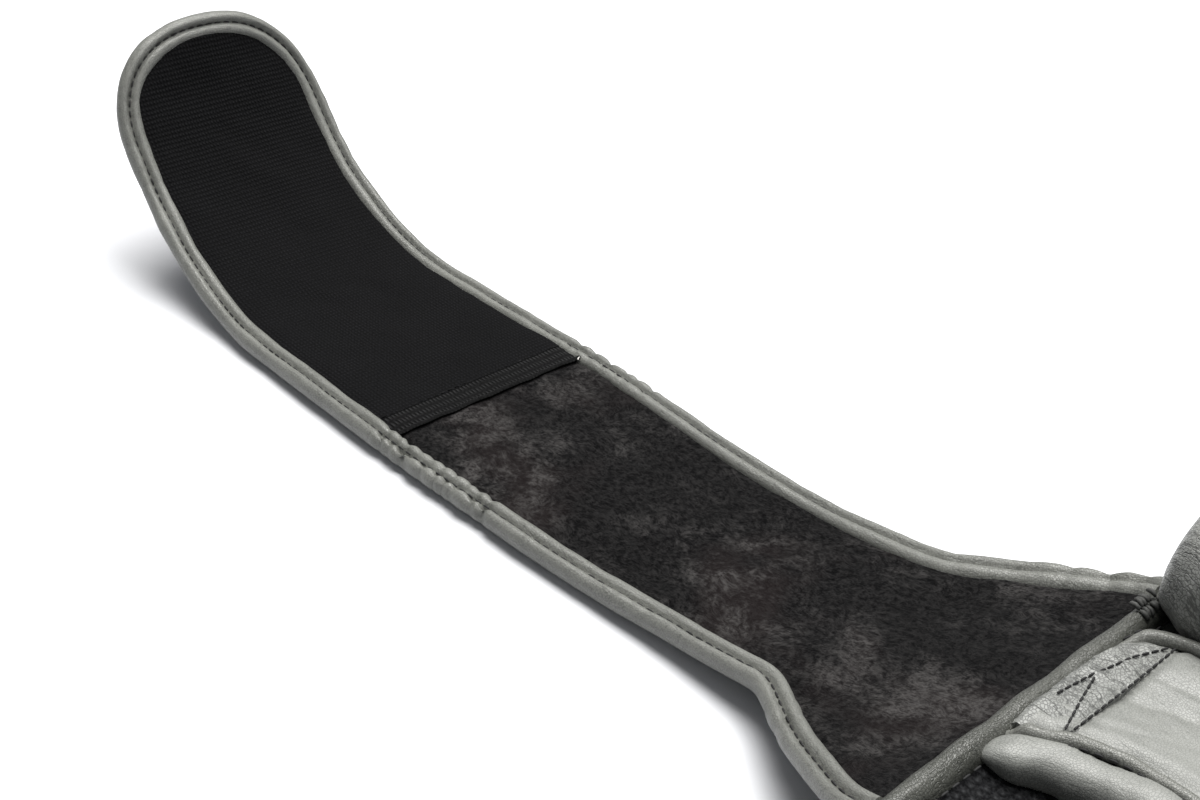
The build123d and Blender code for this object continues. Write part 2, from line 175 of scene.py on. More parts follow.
def new_mesh(name: str, points: np.ndarray, faces: list, uvs: np.ndarray | None = None) -> bpy.types.Object:
    """Makes a smooth-shaded mesh object.

    Args:
        name: Name of the piece.
        points: Vertices, one in each row.
        faces: Vertex numbers of each face.
        uvs: Optional surface coordinates in metres, one pair for each vertex.

    Returns:
        The new object, linked to the scene.
    """
    mesh = bpy.data.meshes.new(name)
    mesh.from_pydata([tuple(p) for p in points], [], faces)
    if uvs is not None:
        layer = mesh.uv_layers.new(name="surface")
        corner_vertices = np.zeros(len(mesh.loops), np.int32)
        mesh.loops.foreach_get("vertex_index", corner_vertices)
        layer.data.foreach_set("uv", uvs[corner_vertices].astype(np.float32).ravel())
    mesh.shade_smooth()
    mesh.update()
    piece = bpy.data.objects.new(name, mesh)
    bpy.context.scene.collection.objects.link(piece)
    return piece


def skin(
    name: str,
    rings: np.ndarray,
    uvs: np.ndarray,
    cap: Cap = Cap.OPEN,
    loop: bool = False,
    flip: bool = False,
) -> bpy.types.Object:
    """Skins closed rings into one surface.

    Args:
        name: Name of the piece.
        rings: Points as (ring, point on ring, 3).
        uvs: Surface coordinates as (ring, point on ring, 2).
        cap: How the first and last rings are closed.
        loop: Whether the last ring joins the first one.
        flip: Whether the faces are turned over.

    Returns:
        The new object.
    """
    count, size = rings.shape[:2]
    numbers = np.arange(count * size).reshape(count, size)
    following = np.roll(numbers, -1, axis=0) if loop else numbers[1:]
    first = numbers if loop else numbers[:-1]
    beside, diagonal = np.roll(first, -1, axis=1), np.roll(following, -1, axis=1)
    quads = np.stack([first, beside, diagonal, following], -1).reshape(-1, 4)
    faces = quads.tolist()
    if cap is Cap.FAN and not loop:
        faces.append(numbers[0][::-1].tolist())
        faces.append(numbers[-1].tolist())
    if cap is Cap.STRIP and not loop:
        half = size // 2
        for row, turned in ((numbers[0], True), (numbers[-1], False)):
            for i in range(half - 1):
                quad = [row[i], row[i + 1], row[size - 2 - i], row[size - 1 - i]]
                faces.append([int(n) for n in (quad[::-1] if turned else quad)])
    if flip:
        faces = [face[::-1] for face in faces]
    return new_mesh(name, rings.reshape(-1, 3), faces, uvs.reshape(-1, 2))


def slab_rings(top: np.ndarray, bottom: np.ndarray) -> np.ndarray:
    """Closes a top and a bottom grid into flat rings, one for each row."""
    return np.concatenate([top, bottom[:, ::-1]], axis=1)


def tidy_normals(piece: bpy.types.Object) -> bpy.types.Object:
    """Points every face of a closed mesh outwards."""
    work = bmesh.new()
    work.from_mesh(piece.data)
    bmesh.ops.remove_doubles(work, verts=work.verts, dist=MERGE_REACH)
    bmesh.ops.recalc_face_normals(work, faces=work.faces)
    work.to_mesh(piece.data)
    work.free()
    piece.data.shade_smooth()
    piece.data.set_sharp_from_angle(angle=SHARP_ANGLE)
    return piece


# ---- places on the object ---------------------------------------------------------------------
@dataclass(frozen=True)
class BodyShape:
    """The body's outer face: a flat middle with its sides turned up, and its plan."""

    half_width: float = 130 * MM
    flat_half_width: float = 40 * MM
    side_radius: float = 250 * MM
    strap_y: float = 59.25 * MM
    top_rise: float = 92 * MM
    crotch_drop: float = 175 * MM
    crotch_half_width: float = 58 * MM
    crotch_length: float = 46 * MM
    hip_drop: float = 68 * MM
    corner_radii: tuple = (38 * MM, 20 * MM, 44 * MM, 24 * MM)

    def place(self, x: np.ndarray, y: np.ndarray, height: np.ndarray) -> np.ndarray:
        """Points above the outer face.

        Args:
            x: Place across the body, on its outer face.
            y: Place from the straps' centre line.
            height: Height above the outer face, square to it.

        Returns:
            Points in the frame.
        """
        run = np.clip(np.abs(x) - self.flat_half_width, 0, self.side_radius * 0.95)
        slope = np.arcsin(run / self.side_radius)
        rise = self.side_radius * (1 - np.cos(slope))
        return np.stack(
            [
                x - np.sign(x) * np.sin(slope) * height,
                self.strap_y + y + 0 * x,
                rise + np.cos(slope) * height,
            ],
            -1,
        )

    def outline(self, step: float) -> np.ndarray:
        """The plan as a closed line of (x, y) points, walked clockwise from the top middle."""
        corners = [
            (0.0, self.top_rise),
            (self.half_width, self.top_rise),
            (self.half_width, -self.hip_drop),
            (self.crotch_half_width, -self.crotch_drop + self.crotch_length),
            (self.crotch_half_width, -self.crotch_drop),
            (0.0, -self.crotch_drop),
        ]
        points = [np.array(corners[0])]
        for i, radius in enumerate(self.corner_radii, start=1):
            before, corner, after = (np.array(corners[j]) for j in (i - 1, i, i + 1))
            inward = (before - corner) / np.linalg.norm(before - corner)
            onward = (after - corner) / np.linalg.norm(after - corner)
            turn = math.pi - math.acos(float(inward @ onward))
            reach = radius * math.tan(turn / 2)
            start, end = corner + inward * reach, corner + onward * reach
            bisector = (inward + onward) / np.linalg.norm(inward + onward)
            centre = corner + bisector * math.hypot(radius, reach)
            for share in np.linspace(0, 1, 16):
                spoke = (1 - share) * (start - centre) + share * (end - centre)
                points.append(centre + spoke / np.linalg.norm(spoke) * radius)
        points.append(np.array(corners[-1]))
        right = np.array(points)
        left = right[-2:0:-1] * (-1, 1)
        return resample(np.vstack([right, left]), step, closed=True)


@dataclass(frozen=True)
class StrapShape:
    """A waist strap's inner face: down to the table, flat, then curled up at the tip."""

    thickness: float = 5.5 * MM
    drop_radius: float = 334.5 * MM
    drop_degrees: float = 18.5
    flat_run: float = 132 * MM
    curl_radius: float = 93.9 * MM
    tip_at: float = 355 * MM
    tip_round: float = 32 * MM
    tip_power: float = 2.4
    fold_at: float = 181 * MM
    split_at: float = 104 * MM
    root_tuck: float = 6 * MM
    low_edge: tuple = (
        (0, 51), (22, 41), (42, 27.5), (75, 28), (118, 31.5), (170, 34), (250, 34.5), (320, 31.5)
    )
    high_edge: tuple = (
        (0, 49), (22, 40), (42, 31.5), (75, 30.5), (118, 31), (170, 33.5), (225, 32), (300, 29.5)
    )

    def place(
        self, body: BodyShape, side: Side, s: np.ndarray, v: np.ndarray, height: np.ndarray
    ) -> np.ndarray:
        """Points above the strap's inner face.

        Args:
            body: The body that the strap starts at.
            side: Which strap.
            s: Distance along the strap from the body.
            v: Distance across it, from its centre line towards +Y.
            height: Height above the inner face, square to it.

        Returns:
            Points in the frame.
        """
        drop = math.radians(self.drop_degrees)
        drop_run = self.drop_radius * drop
        flat_end = drop_run + self.flat_run
        first = np.clip(s, -2 * self.root_tuck, drop_run)
        last = np.clip(s - flat_end, 0, None)
        slope = np.where(s < drop_run, first / self.drop_radius - drop, last / self.curl_radius)
        middle = np.clip(s - drop_run, 0, self.flat_run)
        x = self.drop_radius * (math.sin(drop) + np.sin(first / self.drop_radius - drop))
        x = x + middle + self.curl_radius * np.sin(last / self.curl_radius)
        z = self.drop_radius * (1 - np.cos(first / self.drop_radius - drop))
        z = z + self.curl_radius * (1 - np.cos(last / self.curl_radius)) + self.thickness
        x = x + body.half_width - np.sin(slope) * height
        z = z + np.cos(slope) * height
        return np.stack([side.value * x, body.strap_y + v + 0 * x, z], -1)

    def edge_at(self, s: np.ndarray, high: bool) -> np.ndarray:
        """Half width of the facing, to the binding's inner edge, on one side of the centre line."""
        stations = [(a * MM, b * MM) for a, b in (self.high_edge if high else self.low_edge)]
        half = smooth_line(s, stations, 5 * MM)
        share = np.clip((s - (self.tip_at - self.tip_round)) / self.tip_round, 0, 1)
        return half * np.clip(1 - share**self.tip_power, 0, 1) ** (1 / self.tip_power)

    def outline(self, step: float) -> np.ndarray:
        """The facing's edge as (s, v) points: out along the low side, round the tip and back."""
        straight = np.linspace(-self.root_tuck, self.tip_at - self.tip_round, 170)
        angle = np.linspace(0, math.pi / 2, 60)[1:]
        round_part = self.tip_at - self.tip_round * (1 - np.sin(angle) ** (2 / self.tip_power))
        s = np.concatenate([straight, round_part])
        low = np.stack([s, -self.edge_at(s, False)], -1)
        high = np.stack([s, self.edge_at(s, True)], -1)
        return resample(np.vstack([low, high[::-1]]), step)


BODY = BodyShape()
STRAP = StrapShape()


# ---- finishes ---------------------------------------------------------------------------------
Colour = tuple[float, float, float]
Source = bpy.types.NodeSocket | float | tuple


class Graph:
    """Adds nodes to one node tree, each with its inputs set in the same call."""

    def __init__(self, tree: bpy.types.NodeTree) -> None:
        """Starts on a tree that may already hold nodes."""
        self.tree = tree

    def add(self, kind: str, inputs: dict | None = None, **settings) -> bpy.types.Node:
        """Adds one node.

        Args:
            kind: Name of the node's type, without its ShaderNode prefix.
            inputs: Values or output sockets, by the number or name of the input.
            settings: Properties of the node.

        Returns:
            The node.
        """
        node = self.tree.nodes.new(kind if kind.startswith("Node") else "ShaderNode" + kind)
        for key, value in settings.items():
            setattr(node, key, value)
        for key, value in (inputs or {}).items():
            if isinstance(value, bpy.types.NodeSocket):
                self.tree.links.new(value, node.inputs[key])
            else:
                node.inputs[key].default_value = value
        return node

    def math(self, operation: str, first: Source, second: Source = 0.0) -> bpy.types.NodeSocket:
        """One sum, product or other function of one or two values."""
        return self.add("Math", {0: first, 1: second}, operation=operation).outputs[0]

    def remap(
        self, value: Source, low: float, high: float, new_low: float, new_high: float
    ) -> bpy.types.NodeSocket:
        """Maps one range softly onto another, clamped at both ends."""
        inputs = {"Value": value, "From Min": low, "From Max": high, "To Min": new_low, "To Max": new_high}
        return self.add("MapRange", inputs, interpolation_type="SMOOTHSTEP").outputs["Result"]

    def blend(self, share: Source, first: Source, second: Source) -> bpy.types.NodeSocket:
        """A colour between two others."""
        node = self.add("Mix", {"Factor": share}, data_type="RGBA")
        for number, value in ((6, first), (7, second)):
            if isinstance(value, bpy.types.NodeSocket):
                self.tree.links.new(value, node.inputs[number])
            else:
                node.inputs[number].default_value = (*value, 1.0)
        return node.outputs[2]

    def noise(
        self, place: Source, scale: float, detail: float = 3.0, roughness: float = 0.55
    ) -> bpy.types.NodeSocket:
        """Fractal noise from 0 to 1."""
        inputs = {"Vector": place, "Scale": scale, "Detail": detail, "Roughness": roughness}
        return self.add("TexNoise", inputs).outputs["Fac"]

    def stretch(self, place: Source, scale: tuple[float, float, float]) -> bpy.types.NodeSocket:
        """Coordinates multiplied axis by axis."""
        return self.add("VectorMath", {0: place, 1: scale}, operation="MULTIPLY").outputs[0]


def new_group(
    name: str, inputs: dict, outputs: dict
) -> tuple[bpy.types.NodeTree, Graph, bpy.types.NodeOutputs, bpy.types.Node]:
    """Starts a shader node group.

    Args:
        name: The group's name.
        inputs: Socket types and default values, by socket name.
        outputs: Socket types, by socket name.

    Returns:
        The group, a graph on it, its input sockets by name, and its output node.
    """
    group = bpy.data.node_groups.new(name, "ShaderNodeTree")
    for label, (kind, value) in inputs.items():
        socket = group.interface.new_socket(label, in_out="INPUT", socket_type="NodeSocket" + kind)
        if value is not None:
            socket.default_value = value
    for label, kind in outputs.items():
        group.interface.new_socket(label, in_out="OUTPUT", socket_type="NodeSocket" + kind)
    graph = Graph(group)
    start, end = graph.add("NodeGroupInput"), graph.add("NodeGroupOutput")
    return group, graph, start.outputs, end


def leather_grain_group() -> bpy.types.NodeTree:
    """Pebbled leather: colour with painted shade in its pits and crease lines over a random mottle,
    roughness, and height in metres.
    """
    group, g, given, end = new_group(
        "leather_grain",
        {
            "Place": ("Vector", None),
            "Pebble": ("Float", 1.2 * MM),
            "Dark": ("Color", (0.05, 0.055, 0.05, 1)),
            "Light": ("Color", (0.14, 0.15, 0.14, 1)),
            "Crease": ("Float", 1.0),
        },
        {"Color": "Color", "Roughness": "Float", "Height": "Float"},
    )
    place = given["Place"]
    frequency = g.math("DIVIDE", 1.0, given["Pebble"])
    warp = g.add("TexNoise", {"Vector": place, "Scale": 240.0, "Detail": 2.0}).outputs["Color"]
    shifted = g.add("VectorMath", {0: warp, 1: (0.0009,) * 3, 2: place}, operation="MULTIPLY_ADD").outputs[0]
    cells = g.add("TexVoronoi", {"Vector": shifted, "Scale": frequency}, feature="DISTANCE_TO_EDGE")
    pits = g.remap(cells.outputs["Distance"], 0.0, 0.16, 1.0, 0.0)
    fine = g.noise(place, 2600.0, 2.0)
    folds = g.noise(g.stretch(shifted, (1.0, 2.4, 1.0)), 95.0, 4.0, 0.6)
    fold_line = g.remap(g.math("ABSOLUTE", g.math("SUBTRACT", folds, 0.5)), 0.0, 0.035, 1.0, 0.0)
    fold_line = g.math("MULTIPLY", fold_line, given["Crease"])
    cloud = g.noise(place, 28.0, 3.0)
    # Painted shade: the grain's pits and crease lines are darkened in colour, where shade would fall in them.
    hollow = g.math("MAXIMUM", g.math("MULTIPLY", pits, 0.3), g.math("MULTIPLY", fold_line, 0.4))
    mottle = g.math("ADD", g.math("MULTIPLY", cloud, 0.35), 0.375)
    light = g.remap(g.math("SUBTRACT", mottle, g.math("MULTIPLY", hollow, 0.75)), 0.16, 0.62, 0.0, 1.0)
    colour = g.blend(light, given["Dark"], given["Light"])
    rough = g.math("ADD", g.remap(cloud, 0.3, 0.7, -0.05, 0.06), g.math("MULTIPLY", hollow, 0.16))
    height = g.math("MULTIPLY", pits, -0.000024)
    height = g.math("ADD", height, g.math("MULTIPLY", fold_line, -0.00008))
    height = g.math("ADD", height, g.math("MULTIPLY", fine, 0.000012))
    height = g.math("ADD", height, g.math("MULTIPLY", folds, 0.00025))
    g.tree.links.new(colour, end.inputs["Color"])
    g.tree.links.new(g.math("ADD", rough, 0.44), end.inputs["Roughness"])
    g.tree.links.new(height, end.inputs["Height"])
    return group


def rib_weave_group() -> bpy.types.NodeTree:
    """Crossing ribs: a mask from 0 in the gaps to 1 on the crowns, with its rows slightly uneven."""
    group, g, given, end = new_group(
        "rib_weave",
        {"Place": ("Vector", None), "Pitch U": ("Float", 0.001), "Pitch V": ("Float", 0.001)},
        {"Crown": "Float", "Tint": "Float"},
    )
    place = given["Place"]
    wobble = g.add("TexNoise", {"Vector": place, "Scale": 300.0}).outputs["Color"]
    moved = g.add("VectorMath", {0: wobble, 1: (0.0004,) * 3, 2: place}, operation="MULTIPLY_ADD").outputs[0]
    parts = g.add("SeparateXYZ", {0: moved}).outputs
    crowns = []
    for axis, pitch in ((0, "Pitch U"), (1, "Pitch V")):
        phase = g.math("MULTIPLY", g.math("DIVIDE", parts[axis], given[pitch]), math.tau)
        crowns.append(g.math("ADD", g.math("MULTIPLY", g.math("SINE", phase), 0.5), 0.5))
    crown = g.math("MULTIPLY", crowns[0], crowns[1])
    tint = g.noise(place, 1400.0, 2.0)
    g.tree.links.new(crown, end.inputs["Crown"])
    g.tree.links.new(tint, end.inputs["Tint"])
    return group


@dataclass(frozen=True)
class Finish:
    """A finish: its slot in the record, and the numbers that its material starts from."""

    name: str
    slot: str
    dark: Colour
    light: Colour
    roughness: float = 0.6
    bump: float = 1.0

    def start(self) -> tuple[bpy.types.Material, Graph, bpy.types.Node, Source]:
        """A new material with its constants on the shader, and surface coordinates in metres."""
        material = bpy.data.materials.new(self.name)
        material.use_nodes = True
        material.node_tree.nodes.clear()
        g = Graph(material.node_tree)
        shader = g.add("BsdfPrincipled", {"Roughness": self.roughness})
        output = g.add("OutputMaterial")
        g.tree.links.new(shader.outputs[0], output.inputs["Surface"])
        place = g.add("UVMap", uv_map="surface").outputs[0]
        return material, g, shader, place

    def raise_surface(self, g: Graph, shader: bpy.types.Node, height: Source) -> None:
        """Turns a height in metres into the shader's normal."""
        bump = g.add("Bump", {"Height": height, "Strength": self.bump, "Distance": 1.0})
        g.tree.links.new(bump.outputs[0], shader.inputs["Normal"])


@dataclass(frozen=True)
class LeatherFinish(Finish):
    """Grained leather."""

    pebble: float = 1.2 * MM
    crease: float = 1.0
    relief: float = 1.0

    def make(self, groups: dict) -> bpy.types.Material:
        """Builds the material."""
        material, g, shader, place = self.start()
        inputs = {
            "Place": place,
            "Pebble": self.pebble,
            "Dark": (*self.dark, 1.0),
            "Light": (*self.light, 1.0),
            "Crease": self.crease,
        }
        grain = g.add("Group", node_tree=groups["leather"])
        for key, value in inputs.items():
            if isinstance(value, bpy.types.NodeSocket):
                g.tree.links.new(value, grain.inputs[key])
            else:
                grain.inputs[key].default_value = value
        g.tree.links.new(grain.outputs["Color"], shader.inputs["Base Color"])
        rough = g.math("ADD", grain.outputs["Roughness"], self.roughness - 0.5)
        g.tree.links.new(rough, shader.inputs["Roughness"])
        shader.inputs["Specular IOR Level"].default_value = 0.5
        self.raise_surface(g, shader, g.math("MULTIPLY", grain.outputs["Height"], self.relief))
        return material


@dataclass(frozen=True)
class SuedeFinish(Finish):
    """Napped suede: short streaks of fibre, brushed patches and a brown cast in places."""

    brown: Colour = (0.015, 0.011, 0.011)
    brushed: Colour = (0.048, 0.0455, 0.045)

    def make(self, groups: dict) -> bpy.types.Material:
        """Builds the material."""
        material, g, shader, place = self.start()
        twist = g.add("TexNoise", {"Vector": place, "Scale": 60.0, "Detail": 3.0}).outputs["Color"]
        comb = {0: twist, 1: (9 * MM,) * 3, 2: place}
        combed = g.add("VectorMath", comb, operation="MULTIPLY_ADD").outputs[0]
        streaks = g.noise(g.stretch(combed, (0.5, 1.5, 1.0)), 1800.0, 4.0, 0.75)
        tufts = g.noise(combed, 600.0, 4.0, 0.66)
        patches = g.noise(g.stretch(place, (0.8, 1.2, 1.0)), 24.0, 4.0, 0.62)
        smears = g.noise(combed, 75.0, 5.0, 0.68)
        cast = g.noise(place, 21.0, 3.0)
        nap = g.math("ADD", g.math("MULTIPLY", streaks, 0.55), g.math("MULTIPLY", tufts, 0.45))
        base = g.blend(g.remap(nap, 0.4, 0.62, 0.0, 1.0), self.dark, self.light)
        warm = g.blend(g.remap(cast, 0.5, 0.68, 0.0, 0.4), base, self.brown)
        brushed_areas = g.remap(patches, 0.44, 0.62, 0.0, 1.0)
        brushing = g.math("MULTIPLY", brushed_areas, g.remap(smears, 0.42, 0.64, 0.0, 1.0))
        pale = g.math("MULTIPLY", brushing, g.remap(nap, 0.4, 0.6, 0.15, 0.95))
        colour = g.blend(pale, warm, self.brushed)
        g.tree.links.new(colour, shader.inputs["Base Color"])
        shader.inputs["Specular IOR Level"].default_value = 0.04
        shader.inputs["Sheen Weight"].default_value = 0.03
        shader.inputs["Sheen Roughness"].default_value = 0.45
        height = g.math("ADD", g.math("MULTIPLY", streaks, 0.00028), g.math("MULTIPLY", tufts, 0.0005))
        self.raise_surface(g, shader, g.math("ADD", height, g.math("MULTIPLY", smears, 0.0005)))
        return material


@dataclass(frozen=True)
class WeaveFinish(Finish):
    """Ribbed woven tape: hook tape, elastic or open mesh, by its pitches."""

    pitch: tuple[float, float] = (1.0 * MM, 1.0 * MM)
    relief: float = 0.3 * MM
    fuzz: float = 0.5
    shine: float = 0.08

    def make(self, groups: dict) -> bpy.types.Material:
        """Builds the material."""
        material, g, shader, place = self.start()
        weave = g.add("Group", node_tree=groups["weave"])
        g.tree.links.new(place, weave.inputs["Place"])
        weave.inputs["Pitch U"].default_value, weave.inputs["Pitch V"].default_value = self.pitch
        crown, tint = weave.outputs["Crown"], weave.outputs["Tint"]
        cloud = g.noise(place, 55.0, 4.0, 0.6)
        fuzz = g.math("MULTIPLY", g.remap(tint, 0.35, 0.7, 0.0, 1.0), self.fuzz)
        # Painted shade: the gaps between the ribs are darker in colour than the crowns; the fuzz adds a
        # random tint.
        share = g.math("ADD", g.math("MULTIPLY", crown, g.remap(cloud, 0.3, 0.7, 0.5, 1.0)), fuzz)
        colour = g.blend(g.math("MULTIPLY", share, 0.7), self.dark, self.light)
        g.tree.links.new(colour, shader.inputs["Base Color"])
        rough = g.math("ADD", self.roughness, g.math("MULTIPLY", tint, 0.1))
        g.tree.links.new(rough, shader.inputs["Roughness"])
        shader.inputs["Specular IOR Level"].default_value = self.shine
        height = g.math("ADD", g.math("MULTIPLY", crown, self.relief), g.math("MULTIPLY", tint, 0.0001))
        self.raise_surface(g, shader, height)
        return material


@dataclass(frozen=True)
class PlainFinish(Finish):
    """Moulded plastic or thread: a soft mottle with fine wear, placed by object coordinates."""

    grain: float = 1.0 * MM
    relief: float = 0.03 * MM

    def make(self, groups: dict) -> bpy.types.Material:
        """Builds the material."""
        material, g, shader, _ = self.start()
        place = g.add("TexCoord").outputs["Object"]
        cloud = g.noise(place, 40.0, 4.0)
        fine = g.noise(place, 1.0 / self.grain, 3.0)
        share = g.math("ADD", g.math("MULTIPLY", cloud, 0.5), g.math("MULTIPLY", fine, 0.5))
        colour = g.blend(g.remap(share, 0.3, 0.7, 0.0, 1.0), self.dark, self.light)
        g.tree.links.new(colour, shader.inputs["Base Color"])
        rough = g.math("ADD", self.roughness - 0.05, g.math("MULTIPLY", fine, 0.1))
        g.tree.links.new(rough, shader.inputs["Roughness"])
        self.raise_surface(g, shader, g.math("MULTIPLY", fine, self.relief))
        return material


class Finishes:
    """Every finish of the object, made once and looked up by name."""

    BINDING = LeatherFinish(
        name="binding_leather", slot="binding_leather",
        dark=(0.055, 0.0565, 0.051), light=(0.15, 0.153, 0.14),
        roughness=0.46, pebble=0.6 * MM, crease=0.35, relief=1.6,
    )
    BODY = LeatherFinish(
        name="body_leather", slot="body_leather",
        dark=(0.09, 0.094, 0.088), light=(0.195, 0.199, 0.187),
        roughness=0.47, pebble=0.6 * MM, crease=0.25,
    )
    # Darker pits than the body leather: deeper painted shade in the grain's pits and creases.
    PATCH = LeatherFinish(
        name="patch_leather", slot="body_leather",
        dark=(0.02, 0.021, 0.02), light=(0.195, 0.2, 0.19),
        roughness=0.5, pebble=0.8 * MM, crease=0.8, relief=1.7,
    )
    # Darker pits than the body leather: deeper painted shade in the grain's pits and creases.
    BOLSTER = LeatherFinish(
        name="bolster_leather", slot="body_leather",
        dark=(0.03, 0.031, 0.03), light=(0.225, 0.23, 0.216),
        roughness=0.44, pebble=1.0 * MM, crease=0.8, relief=2.4,
    )
    # Painted shade: the same binding leather as the straps' edges, made darker in colour for the body's bound
    # edge.
    RIM = LeatherFinish(
        name="rim_leather_shaded", slot="binding_leather",
        dark=(0.02, 0.021, 0.018), light=(0.062, 0.064, 0.056),
        roughness=0.44, pebble=0.7 * MM, crease=0.4, relief=2.2,
    )
    STRAP_BACK = LeatherFinish(
        name="strap_leather", slot="strap_leather",
        dark=(0.03, 0.033, 0.03), light=(0.085, 0.09, 0.085),
        roughness=0.5,
    )
    SUEDE = SuedeFinish(
        name="suede", slot="suede",
        dark=(0.0006, 0.0006, 0.0008), light=(0.0125, 0.0121, 0.0123),
        roughness=0.95,
    )
    HOOK = WeaveFinish(
        name="hook_tape", slot="hook_tape",
        dark=(0.001, 0.001, 0.0012), light=(0.0085, 0.0085, 0.0095),
        roughness=0.85, pitch=(1.5 * MM, 1.1 * MM),
    )
    # Strong painted shade in the gaps between its ribs.
    SELVEDGE = WeaveFinish(
        name="hook_selvedge", slot="hook_tape",
        dark=(0.0005, 0.0005, 0.0006), light=(0.03, 0.03, 0.031),
        roughness=0.8, pitch=(3.2 * MM, 1.2 * MM), relief=0.6 * MM, fuzz=0.2,
    )
    LOOP = WeaveFinish(
        name="loop_tape", slot="loop_tape",
        dark=(0.006, 0.006, 0.007), light=(0.04, 0.04, 0.042),
        roughness=0.95, pitch=(0.7 * MM, 0.7 * MM), fuzz=0.9,
    )
    MESH = WeaveFinish(
        name="mesh_lining", slot="mesh",
        dark=(0.0015, 0.0015, 0.002), light=(0.035, 0.036, 0.038),
        roughness=0.8, pitch=(2.4 * MM, 2.4 * MM), relief=0.8 * MM,
    )
    ELASTIC = WeaveFinish(
        name="elastic", slot="elastic",
        dark=(0.004, 0.004, 0.005), light=(0.045, 0.045, 0.048),
        roughness=0.75, pitch=(1.3 * MM, 2.0 * MM), relief=0.45 * MM,
    )
    THREAD = PlainFinish(
        name="thread", slot="binding_leather",
        dark=(0.002, 0.002, 0.0025), light=(0.012, 0.012, 0.013),
        roughness=0.8, grain=0.3 * MM,
    )
    TACK = PlainFinish(
        name="tack_thread", slot="binding_leather",
        dark=(0.01, 0.01, 0.01), light=(0.07, 0.072, 0.068),
        roughness=0.7, grain=0.5 * MM,
    )
    PALE_THREAD = PlainFinish(
        name="pale_thread", slot="binding_leather",
        dark=(0.45, 0.44, 0.42), light=(0.7, 0.69, 0.66),
        roughness=0.7, grain=0.3 * MM,
    )
    PLASTIC = PlainFinish(
        name="glide_plastic", slot="glide_plastic",
        dark=(0.008, 0.008, 0.009), light=(0.02, 0.02, 0.022),
        roughness=0.38,
    )
    CUP = PlainFinish(
        name="cup_plastic", slot="cup_plastic",
        dark=(0.05, 0.052, 0.055), light=(0.09, 0.093, 0.097),
        roughness=0.42,
    )

    def __init__(self) -> None:
        """Makes the shared node groups."""
        self.groups = {"leather": leather_grain_group(), "weave": rib_weave_group()}
        self.made: dict[str, bpy.types.Material] = {}

    def material(self, finish: Finish) -> bpy.types.Material:
        """The finish's material, made at its first use."""
        if finish.name not in self.made:
            self.made[finish.name] = finish.make(self.groups)
        return self.made[finish.name]

    def dress(self, piece: bpy.types.Object, finish: Finish) -> bpy.types.Object:
        """Puts a finish on a piece."""
        piece.data.materials.clear()
        piece.data.materials.append(self.material(finish))
        return piece

    def tint(self, node: str, finish: Finish) -> None:
        """Puts a finish on a CAD node that shows as it is."""
        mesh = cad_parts[node].data
        mesh.materials.clear()
        mesh.materials.append(self.material(finish))


# ---- rolls, creases and stitches ----------------------------------------------------------------
@dataclass(frozen=True)
class Puckers:
    """One stretch of a sewn roll with its gathers, along the roll's own length."""

    start: float
    end: float
    spacing: float
    depth: float


@dataclass(frozen=True)
class RollProfile:
    """Closed section of a sewn roll: outward distance and height of a few points, in millimetres."""

    points: tuple
    samples: int = 44

    def section(self) -> np.ndarray:
        """The section with its corners rounded, as (outward, height) in metres."""
        line = resample(np.array(self.points, float) * MM, 0.08 * MM, closed=True)
        spread = 9
        kernel = np.exp(-(np.linspace(-2, 2, 2 * spread + 1) ** 2))
        kernel /= kernel.sum()
        padded_line = np.vstack([line[-spread:], line, line[:spread]])
        smooth = np.stack([np.convolve(padded_line[:, i], kernel, mode="valid") for i in (0, 1)], -1)
        wanted = np.linspace(0, len(smooth), self.samples, endpoint=False).astype(int)
        return smooth[wanted]


STRAP_ROLL = RollProfile(
    (
        (-1.3, -1.2),
        (-0.9, 0.4),
        (0.0, 1.4),
        (1.1, 1.7),
        (2.2, 1.1),
        (2.7, 0.1),
        (3.1, 0.1),
        (3.7, 1.2),
        (4.7, 1.7),
        (5.8, 1.1),
        (6.6, -0.2),
        (6.7, -1.7),
        (6.0, -3.1),
        (4.5, -4.3),
        (2.0, -5.1),
        (-1.3, -5.2),
    )
)
RIM_ROLL = RollProfile(
    (
        (-11.0, 7.0),
        (-11.3, 9.2),
        (-10.4, 11.4),
        (-8.4, 12.5),
        (-6.4, 11.9),
        (-5.1, 10.1),
        (-4.6, 7.4),
        (-4.3, 4.8),
        (-1.5, 3.7),
        (0.0, 3.3),
        (0.2, 2.4),
        (-0.8, 1.0),
        (-2.6, 0.2),
        (-8.5, 0.2),
        (-11.0, 2.0),
    )
)


def crease_depth(along: np.ndarray, outward: np.ndarray, zones: Sequence[Puckers], seed: int) -> np.ndarray:
    """How far a roll is drawn in at its creases.

    Args:
        along: Length along the roll, one value for each ring.
        outward: Outward distance of the section's points.
        zones: Stretches with gathers.
        seed: Seed of the creases' places and slants.

    Returns:
        Depth in metres, as (ring, point).
    """
    rng = np.random.default_rng(seed)
    drawn = np.zeros((len(along), len(outward)))
    for zone in zones:
        centre = zone.start + zone.spacing * rng.uniform(0.2, 0.8)
        while centre < zone.end:
            half = zone.spacing * rng.uniform(0.42, 0.62)
            depth = zone.depth * rng.uniform(0.45, 1.25)
            slant = rng.uniform(-0.5, 0.5)
            share = np.abs(along[:, None] - centre - slant * outward[None, :]) / half
            drawn = np.maximum(drawn, depth * np.clip(1 - share, 0, 1) ** 1.7)
            centre += zone.spacing * rng.uniform(0.65, 1.35)
    return drawn


